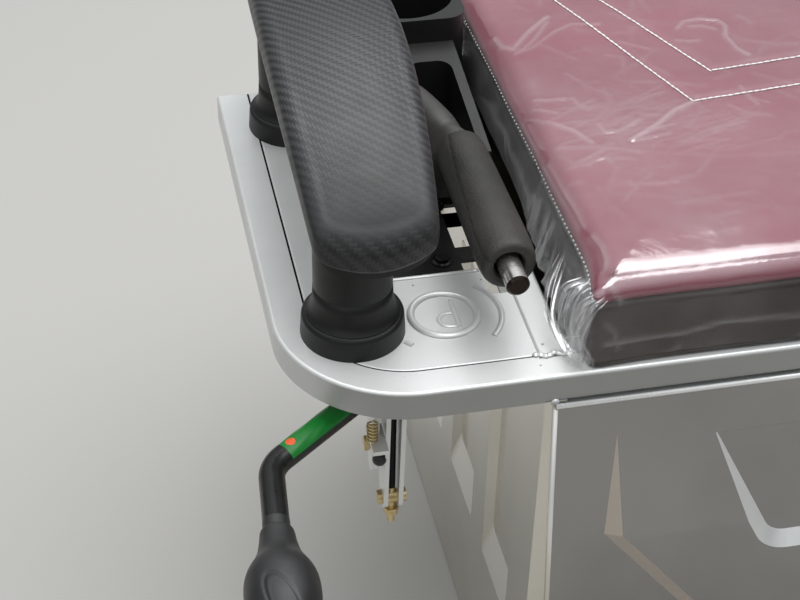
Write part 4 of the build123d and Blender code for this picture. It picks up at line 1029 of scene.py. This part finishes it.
# %% Range knob
rod_elbow, knob_start = at(167.2, 5.0, -48.0), at(171.0, -41.0, -48.0)
knob_way = (knob_start - rod_elbow) / np.linalg.norm(knob_start - rod_elbow)
knob_side = np.cross(knob_way, [0, 0, 1])
knob_profile = np.array([  # distance from the rod's end, radius
    (0.3, 7.0), (0.3, 8.1), (4.5, 8.15), (8.4, 8.2), (8.8, 9.4), (10, 10.2), (18, 11.2), (26, 12.8), (32, 15.0),
    (37, 17.6), (42, 19.8), (48, 21.3), (56, 21.8), (64, 21.4), (73, 19.4), (82, 15.6), (89, 10.6), (93, 4.6),
    (93.6, 0.4),
])
bulb = smooth_through(knob_profile, np.linspace(0, len(knob_profile) - 1, 220))
bulb_t = np.linspace(-np.pi, np.pi, 160, endpoint=False)
along_knob, bulb_radius = bulb[:, :1], bulb[:, 1:]
oval = np.hypot((along_knob - 79) / 22.0, (bulb_t * bulb_radius - 3.0 + 0.4 * (along_knob - 68)) / 8.5)
groove = -0.7 * np.exp(-(((oval - 1) * 12.0 / 1.1) ** 2)) - 0.35 * np.clip((0.9 - oval) / 0.2, 0, 1)
parting_line = -0.25 * np.exp(-(((abs(bulb_t) - 1.57) * bulb_radius / 0.5) ** 2))
reach = (bulb_radius + groove * (abs(bulb_t) < 1.4) + parting_line)[..., None] / 1000
ring = np.cos(bulb_t)[:, None] * np.array([0, 0, 1.0]) + np.sin(bulb_t)[:, None] * knob_side
bulb_grid = knob_start + knob_way * along_knob[..., None] / 1000 + reach * ring
knob = skin("range_bulb", bulb_grid, around=True, caps=True)
wear(knob, knob_plastic, "range_lever", "range_knob")

# %% [markdown]
# A green label is stuck round the upper half of the lever's slanting run, blank but for an orange dot.
# It is a bent strip a tenth of a millimetre off the tube, and the dot is a distance in its UV map.

# %% Label
run_start, run_end = at(100.7, 53.0, -42.0), rod_elbow
run_way = (run_end - run_start) / np.linalg.norm(run_end - run_start)
run_side = np.cross(run_way, [0, 0, 1.0])
run_side /= np.linalg.norm(run_side)
run_over = np.cross(run_side, run_way)
strip_run = np.linspace(0.009, 0.0705, 40)[:, None]
strip_t = np.linspace(-1.2, 1.15, 36)[None]
lift = (0.00812 + 0.0001 * np.cos(9 * strip_t + strip_run * 300))[..., None]
ring = np.cos(strip_t)[..., None] * run_over + np.sin(strip_t)[..., None] * run_side
strip = run_start + run_way * strip_run[..., None] + lift * ring
label = skin("lever_label", strip, uv=joined(strip_run, strip_t * 0.0081))
ink = finish("label_print")
from_dot = [
    maths("POWER", maths("SUBTRACT", part_of(place("UV"), axis), middle), 2.0)
    for axis, middle in (("X", 0.0645), ("Y", 0.0005))
]
in_dot = maths("LESS_THAN", maths("SQRT", maths("ADD", *from_dot)), 0.0031)
green = ramp(noise(35.0, 3.0), (0.3, (0.001, 0.15, 0.015)), (0.7, (0.002, 0.21, 0.024)))
plug(
    Base_Color=blend_colour(in_dot, green, (0.74, 0.10, 0.02)),
    Roughness=ramp(noise(60.0, 2.0), (0.3, 0.28), (0.7, 0.4)),
)
wear(label, ink, "range_lever")

# %% [markdown]
# Small hardware: a return spring on the link's tongue, a bolt and a black ball joint on the link, bolts
# in the brake pit, the stamped letter, the weld bead and spatter that the paint went over, the panel's
# rolled edges with a painted highlight on its top fold, a painted shadow in the trays' grooves, and the
# flares above the posts' boots.

# %% Small hardware
def turned_piece(name, start, way, profile, coat, body, sides=32):
    """Profile of (distance, radius) rows in millimetres, turned about a way from a start point."""
    way = np.asarray(way, float)
    side = np.cross(way, [0.0, 0, 1] if abs(way[2]) < 0.9 else [0.0, 1, 0])
    over = np.cross(side, way)
    t = np.linspace(0, 2 * np.pi, sides, endpoint=False)
    ring = np.cos(t)[:, None] * side + np.sin(t)[:, None] * over
    table = np.array(profile, float) / 1000
    grid = start + way * table[:, None, :1] + ring[None] * table[:, None, 1:]
    return wear(skin(name, grid, around=True, caps=True, smooth=sides > 6), coat, body)


def dome(length, radius, count, tip):
    """Half turn of an ellipse: distance length (1 - cos a), radius r sin a, kept above the tip's."""
    return [(length * (1 - math.cos(a)), max(radius * math.sin(a), tip)) for a in np.linspace(0, math.pi, count)]


def painted_bead(name, path, radius, sides=16, squash=0.7, coat=frame_silver):
    return wear(tube(name, path, radius, sides=sides, squash=squash), coat, "seat_base")


turns = np.linspace(0, 6.0, 240)
spring_x, spring_y = 3.1 * np.cos(turns * 2 * np.pi), 3.1 * np.sin(turns * 2 * np.pi)
spring = tube("return_spring", at(99.0 + spring_x, 36 + spring_y, -67.6 + 16.4 * turns / 6), 0.00062, sides=8)
wear(spring, zinc, "range_lever")
bolt = [(0, 0.2), (0, 4.6), (0.5, 5.0), (3.2, 5.0), (3.7, 4.6), (3.7, 2.4), (5, 2.4), (5, 0.2)]
washer = [(0, 2), (0, 5.4), (1.2, 5.4), (1.2, 2)]
turned_piece("link_bolt_out", at(101.2, 53, -84), (1, 0, 0), bolt, zinc, "range_lever", 6)
turned_piece("link_washer", at(96.6, 53, -84), (1, 0, 0), washer, dull_steel, "range_lever")
ball = dome(4.6, 4.6, 18, 0.2)
turned_piece("ball_joint", at(97.0, 45, -92), (1, 0, 0), ball, knob_plastic, "range_lever")
pit_bolt = [(0, 0.2), (0, 5.2), (3.6, 5.2), (4.1, 4.7), (4.1, 0.2)]
pit_washer = [(0, 1), (0, 7.2), (1.1, 7.2), (1.1, 1)]
for number, (outboard, behind) in enumerate([(22.5, 206), (30.7, 144), (80, 206), (80, 144)]):
    for kind, profile, sides in (("bolt", pit_bolt, 6), ("washer", pit_washer, 32)):
        name, spot = f"pit_{kind}_{number}", at(outboard, behind, -15.0)
        turned_piece(name, spot, (0, 0, 1), profile, black_enamel, "seat_base", sides)

# the stamped letter: a stem and a half-round bowl, both low ridges, read from the rider's seat
bowl_t = np.linspace(-np.pi / 2, np.pi / 2, 30)
bowl_x = np.concatenate([[40.6, 43], 45 + 6.5 * np.cos(bowl_t), [43, 40.6]])
bowl_y = np.concatenate([[58.2, 58.2], 64.7 + 6.5 * np.sin(bowl_t), [71.2, 71.2]])
painted_bead("letter_stem", at(40.2, np.linspace(57.5, 82.5, 24), 0.0), 0.0016, squash=0.55)
painted_bead("letter_bowl", at(bowl_x, bowl_y, 0.0), 0.0016, squash=0.55)

# weld bead over the joint of strip and front rail, and spatter
bead_s = np.linspace(0, 1, 60)
bead_path = at(3.0 - 24 * bead_s, 20.5 + 1.2 * np.sin(14 * bead_s), 0.15)
painted_bead("weld_bead", bead_path, 0.0016 + 0.0006 * np.abs(np.sin(26 * bead_s)), sides=14, squash=0.75)
spatter = [(-5.5, 31, 0.9), (1, 12, 0.8), (12, 108, 1.0), (16, 101, 0.7), (60, 103, 0.8), (41, 84, 0.7)]
for number, (outboard, behind, size) in enumerate(spatter):
    drop, spot = dome(0.9 * size, 0.9 * size, 9, 0.05 * size), at(outboard, behind, -0.5)
    turned_piece(f"spatter_{number}", spot, (0, 0, 1), drop, frame_silver, "seat_base", 10)
drop, spot = dome(2.0, 2.8, 14, 0.1), at(-6.3, 2.4, -20.6)
turned_piece("weld_drop", spot, (0, -1, 0), drop, frame_silver, "seat_base")

# the panel's rolled edges, its top fold lighter as a painted highlight, a painted shadow in the groove
# between rim and plate, and the flare above each post's boot
fold_t = np.linspace(-0.3, np.pi, 14)
fold_x = np.array([[-273.4], [0.0], [273.4]])
fold_y, fold_z = -201.6 - 1.6 * np.sin(fold_t), 353.4 + 1.8 * np.cos(fold_t)
panel_fold = skin("panel_fold", joined(fold_x, fold_y, fold_z) / 1000, around=True, caps=True)
# painted highlight: the fold is painted a lighter silver than the front panel around it
wear(panel_fold, fold_highlight_silver, "seat_base")
corner_run = np.array([[-273.2, -200.4, 350.6], [-266.0, -200.4, 177.0], [-258.9, -200.4, 6.0]]) / 1000
for side, side_name in ((1, "right"), (-1, "left")):
    painted_bead("panel_roll_" + side_name, corner_run * [side, 1, 1], 0.0019, 24, 1.0, panel_silver)
painted_bead("pit_lip", at(np.linspace(113, 15, 30), 110.6, -0.1), 0.0016)
turn_90 = np.linspace(0, np.pi / 2, 24)
joint_arc = np.stack([71.35 + 60 * np.cos(turn_90), 80.65 - 60 * np.sin(turn_90)], 1)
joint_run = np.concatenate([[[131.35, 352.8]], joint_arc, [[0.2, 20.65]]])
joint_way = np.gradient(joint_run, axis=0)
joint_way /= np.linalg.norm(joint_way, axis=1, keepdims=True)
joint_side = np.stack([-joint_way[:, 1], joint_way[:, 0]], 1)
joint_plan = joint_run[:, None] + joint_side[:, None] * np.array([[-0.6], [0.6]])
# painted shadow: a near-black strip in the groove between rim and plate, where the gap shows only shade
groove_shadow_paint = moulded("groove_shadow_paint", (0.004, 0.004, 0.004), 900.0, 0.8, 0.0, 0.1)
flare = [
    (13.0, 24.0), (15.6, 29.6), (16.4, 28.8), (18, 27.3), (20.5, 26.1), (24, 25.2), (29, 24.7), (36, 24.4), (36, 24.0),
]
for side, side_name in ((1, "right"), (-1, "left")):
    joint = skin("joint_shadow_" + side_name, at(joint_plan[..., 0], joint_plan[..., 1], -0.45) * [side, 1, 1])
    wear(joint, groove_shadow_paint, "seat_base")
    for post, outboard, behind in (("front", 105.7, 67.0), ("rear", 103.9, 306.0)):
        name, spot = f"boot_flare_{post}_{side_name}", at(outboard, behind, 0.0) * [side, 1, 1]
        turned_piece(name, spot, (0, 0, 1), flare, post_plastic, "seat_base", 64)
bar_rows = [at([3, 20, 20, 3], b, z) for b, z in ((184, -18), (184, -15.2), (197, -15.2), (197, -18))]
pit_bar = skin("pit_bar", np.stack(bar_rows), around=True, along=True, smooth=False)
wear(pit_bar, black_enamel, "seat_base")
print("small hardware done,", len(bpy.data.meshes), "meshes")
